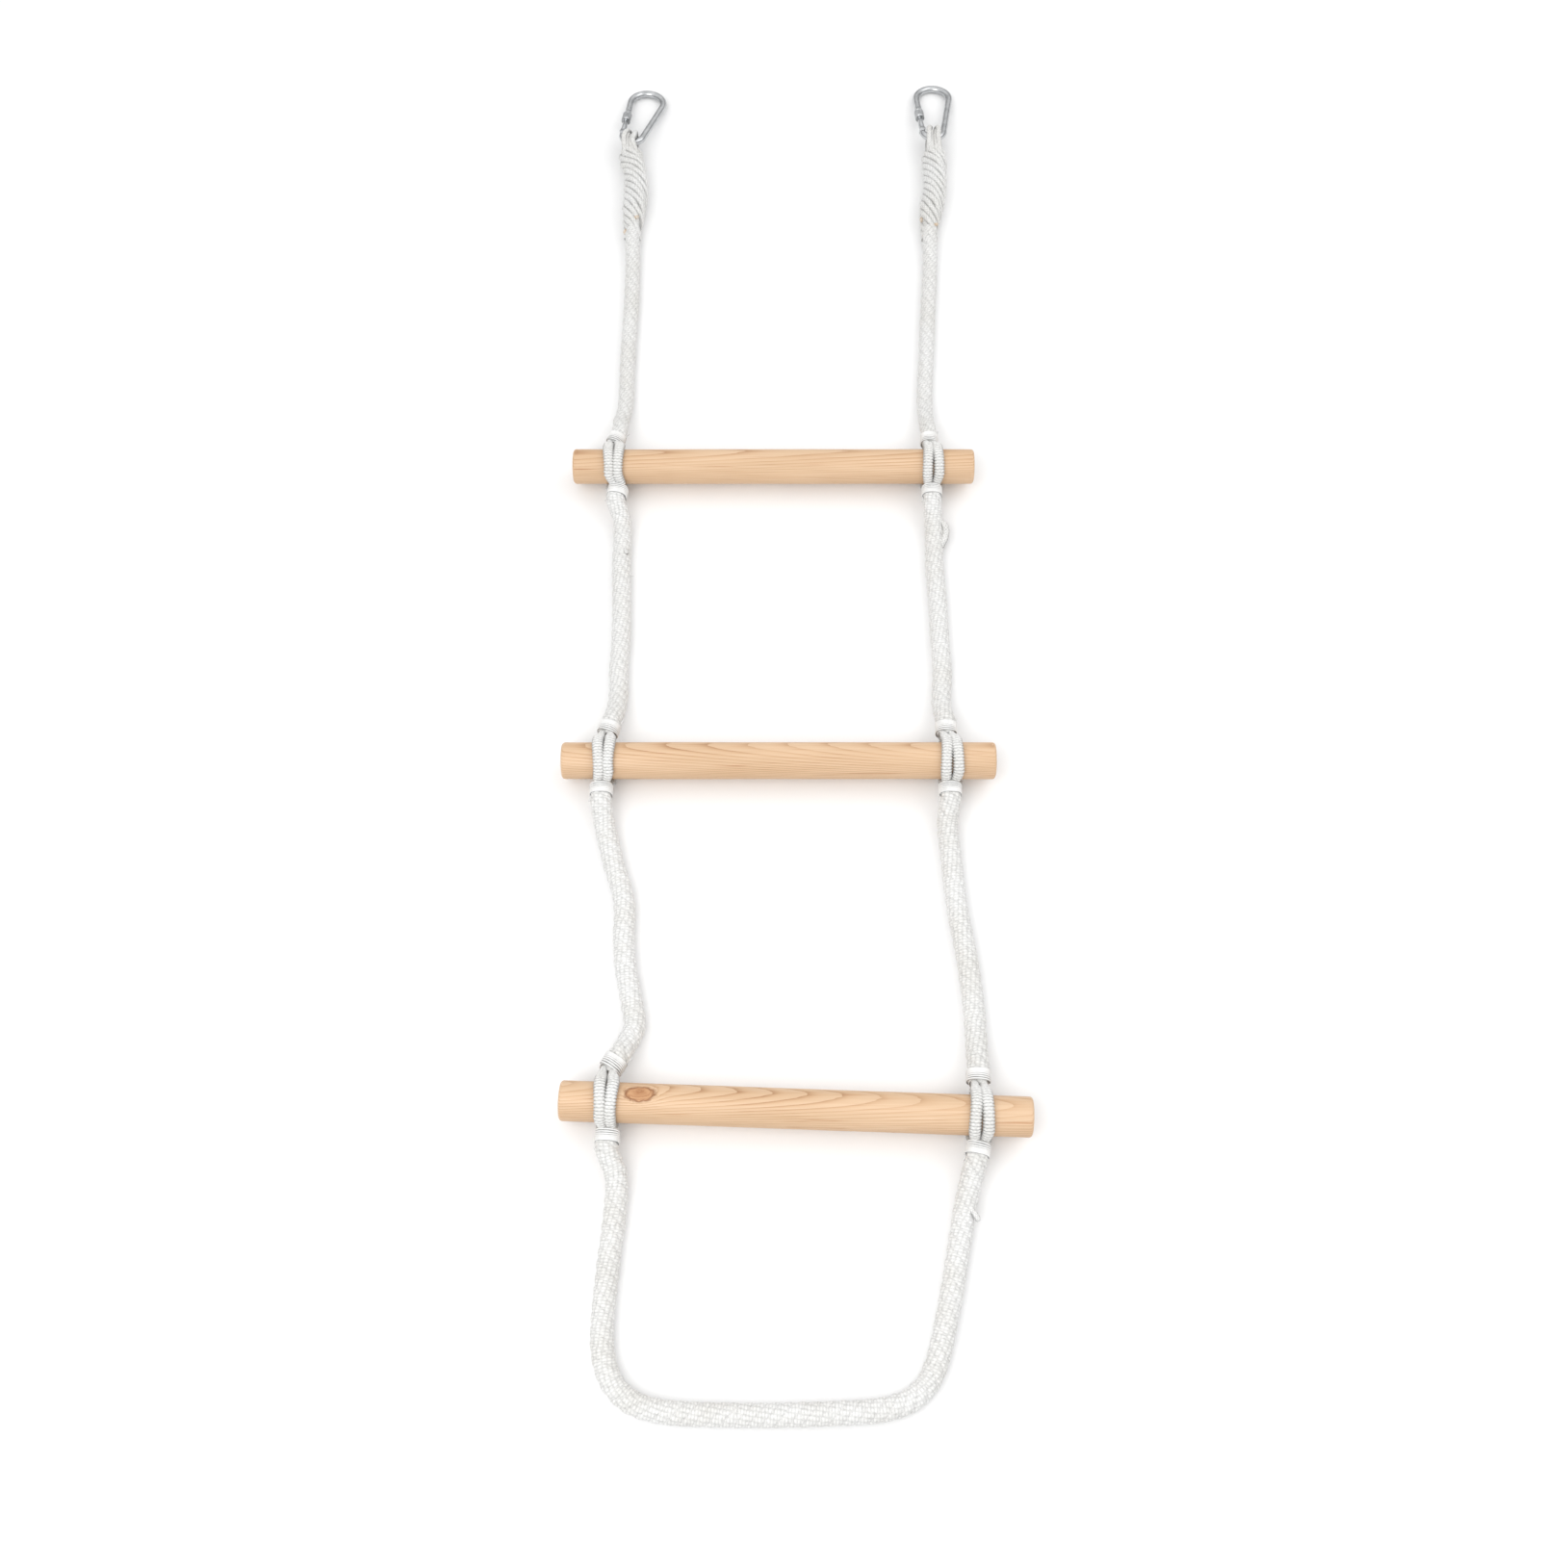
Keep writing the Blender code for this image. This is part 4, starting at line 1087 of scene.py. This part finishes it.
def makeGate(side):
    start, along, lean = gateLine()
    pin = start + along * carabiner["pinAt"]
    bm, uvLayer = newShape()
    shankFrom, shankTo = gate["shankStart"], gate["threadStart"] + gate["overlap"]
    shankMiddle = start + along * (shankFrom + shankTo) / 2
    roundBar(bm, shankMiddle, along, gate["shank"], shankTo - shankFrom, 0.0003)
    inner, outer = gate["slotHalf"], gate["earHeight"] / 2
    cheekFrom, cheekTo = carabiner["pinAt"], gate["shankStart"] + 0.0006
    for way in (-1, 1):
        ear = pin + upwards * way * (inner + outer) / 2
        roundBar(bm, ear, upwards, gate["ear"], outer - inner, 0.0003)
        cheek = start + along * (cheekFrom + cheekTo) / 2 + upwards * way * (inner + gate["cheek"]) / 2
        size = (gate["cheekWidth"], cheekTo - cheekFrom, gate["cheek"] - inner)
        softBlock(bm, cheek, size, lean, 0.0003)
    length = gate["slotStart"] - gate["threadStart"]
    steps = round(length / 0.0001)
    rings = []
    for index in range(steps + 1):
        walked = length * index / steps
        size = gate["thread"] * (0.86 if index in (0, steps) else 1.0)
        place = start + along * (gate["threadStart"] + walked)
        rings.append((place, upwards * size, along.cross(upwards) * size, walked))

    def threaded(turn, walked, index):
        if index in (0, steps):
            return 0.0
        place = (walked / gate["pitch"] + turn / math.tau) % 1.0
        return gate["threadDepth"] * (abs(2 * place - 1) - 1.0)

    rollTube(bm, uvLayer, rings, 40, threaded)
    prongMiddle = start + along * (gate["slotStart"] + gate["end"]) / 2
    for way in (-1, 1):
        prong = bmesh.new()
        roundBar(prong, prongMiddle, along, gate["thread"], gate["end"] - gate["slotStart"], 0.0004, 40)
        bmesh.ops.bisect_plane(
            prong, geom=prong.verts[:] + prong.edges[:] + prong.faces[:], dist=0.0000001,
            plane_co=prongMiddle + upwards * way * inner, plane_no=upwards * -way, clear_outer=True,
        )
        bmesh.ops.holes_fill(prong, edges=[e for e in prong.edges if e.is_boundary], sides=0)
        bmesh.ops.recalc_face_normals(prong, faces=prong.faces)
        half = bpy.data.meshes.new("prong")
        prong.to_mesh(half)
        prong.free()
        bm.from_mesh(half)
        bpy.data.meshes.remove(half)
    bmesh.ops.transform(bm, matrix=carabinerPlace(side), verts=bm.verts)
    piece = finishShape(f"{side}_screw_gate", bm, steel, 40.0)
    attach(piece, f"{side}_gate")
    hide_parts(f"{side}_carabiner_gate")


def makeSleeve(side):
    start, along, _ = gateLine()
    length, outer, bore, chamfer = sleeve["length"], sleeve["outer"], sleeve["bore"], sleeve["chamfer"]
    groove = outer * sleeve["groove"]
    collar = [(0.0, bore), (0.0, outer - chamfer), (chamfer * 0.5, outer - chamfer * 0.25)]
    collar += [(chamfer, outer), (0.0016, outer), (0.0018, groove), (0.0021, groove)]
    knurlStart, edge = len(collar), sleeve["knurlEdge"]
    knurl = [(edge + index * (length - 2 * edge) / 9, outer) for index in range(10)]
    knurlEnd = knurlStart + len(knurl)
    profile = collar + knurl + [(length - height, size) for height, size in collar[::-1]]
    profile += [(length / 2, bore), (0.0, bore)]
    rings = []
    for height, size in profile:
        place = start + along * (sleeve["start"] + height)
        rings.append((place, upwards * size, along.cross(upwards) * size, height))

    def knurled(turn, height, index):
        if not knurlStart <= index < knurlEnd:
            return 0.0
        ridge = abs(((turn / math.tau) * sleeve["ridges"]) % 1.0 - 0.5) * 2
        return -sleeve["ridge"] * max(0.0, ridge * 1.6 - 0.6)

    bm, uvLayer = newShape()
    rollTube(bm, uvLayer, rings, sleeve["ridges"] * 6, knurled, closed=True)
    bmesh.ops.transform(bm, matrix=carabinerPlace(side), verts=bm.verts)
    piece = finishShape(f"{side}_knurled_nut", bm, steel, 35.0)
    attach(piece, f"{side}_sleeve")
    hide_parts(f"{side}_lock_sleeve")


for side in sides:
    makeFrame(side)
    makeGate(side)
    makeSleeve(side)
    for part in ("hinge_pin", "spring_plunger"):
        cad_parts[f"{side}_{part}"].material_slots[0].material = steel
    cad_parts[f"{side}_gate_spring"].material_slots[0].material = springSteel
print("carabiners made")

looseEnds = {  # a short cut end beside the rope: body, the way it lies, and its radius
    "right_upper_strand": (
        "upper_section", (0.1560, 0.1360, 0.0125), (0.1635, 0.1270, 0.0150),
        (0.1638, 0.1170, 0.0130), (0.1585, 0.1040, 0.0110), 0.0036,
    ),
    "left_upper_stub": (
        "upper_section", (-0.1640, 0.1010, 0.0130), (-0.1600, 0.0960, 0.0175),
        (-0.1575, 0.0915, 0.0180), 0.0022,
    ),
    "right_loop_stub": (
        "loop", (0.1570, -0.5700, 0.0150), (0.1615, -0.5760, 0.0190),
        (0.1655, -0.5830, 0.0185), 0.0024,
    ),
    "left_stray_thread": (
        "upper_section", (-0.1560, 0.0690, 0.0110), (-0.1530, 0.0680, 0.0130),
        (-0.1508, 0.0684, 0.0125), 0.0005,
    ),
}


def makeLooseEnd(name, body, *route):
    *places, radius = route
    line = smoothLine([Vector(place) for place in places], 0.0007)
    rings, total = [], len(line) - 1
    for index, (point, run) in enumerate(zip(line, directions(line))):
        out = (upwards - run * upwards.dot(run)).normalized()
        blunt = 1.0 - 0.35 * max(0.0, index - total + 2) / 2
        rings.append((point, out * radius * blunt, run.cross(out) * radius * blunt, index * 0.0007))
    bm, uvLayer = newShape()
    rollTube(bm, uvLayer, rings, 14, plaited)
    piece = finishShape(name, bm, ropeCloth, 75.0)
    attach(piece, body)


for name, setup in looseEnds.items():
    makeLooseEnd(name, *setup)
print("loose ends made")

studio = {
    "floor": 4.0,
    "floorZ": -0.0004,
    "sky": ((0.05, 0.30), (0.62, 1.08)),  # grey at the horizon and overhead
    "key": {"place": (-0.7, -1.3, 2.0), "size": 1.6, "power": 20.0},
    "fill": {"place": (1.3, 0.6, 1.7), "size": 1.4, "power": 6.0},
}


def makeStudio():
    bm = bmesh.new()
    half = studio["floor"] / 2
    place = Matrix.Translation((0.0, 0.0, studio["floorZ"]))
    bmesh.ops.create_grid(bm, x_segments=1, y_segments=1, size=half, matrix=place)
    mesh = bpy.data.meshes.new("floor")
    bm.to_mesh(mesh)
    bm.free()
    mesh.materials.append(floorMaterial())
    placed("floor", mesh)
    for name in ("key", "fill"):
        light = bpy.data.lights.new(name, "AREA")
        light.size = studio[name]["size"]
        light.energy = studio[name]["power"]
        lamp = placed(name, light)
        lamp.location = studio[name]["place"]
        aim = -Vector(studio[name]["place"])
        lamp.rotation_euler = aim.to_track_quat("-Z", "Y").to_euler()
    world = bpy.data.worlds.new("studio")
    world.use_nodes = True
    tree = world.node_tree
    direction = tree.nodes.new("ShaderNodeTexCoord")
    split = tree.nodes.new("ShaderNodeSeparateXYZ")
    fade = tree.nodes.new("ShaderNodeValToRGB")
    tree.links.new(direction.outputs["Generated"], split.inputs[0])
    tree.links.new(split.outputs[2], fade.inputs[0])
    tree.links.new(fade.outputs[0], tree.nodes["Background"].inputs["Color"])
    for element, (height, grey) in zip(fade.color_ramp.elements, studio["sky"]):
        element.position = height
        element.color = (grey, grey, grey, 1.0)
    bpy.context.scene.world = world
    bpy.context.scene.view_settings.view_transform = "Standard"


makeStudio()
print("studio set")
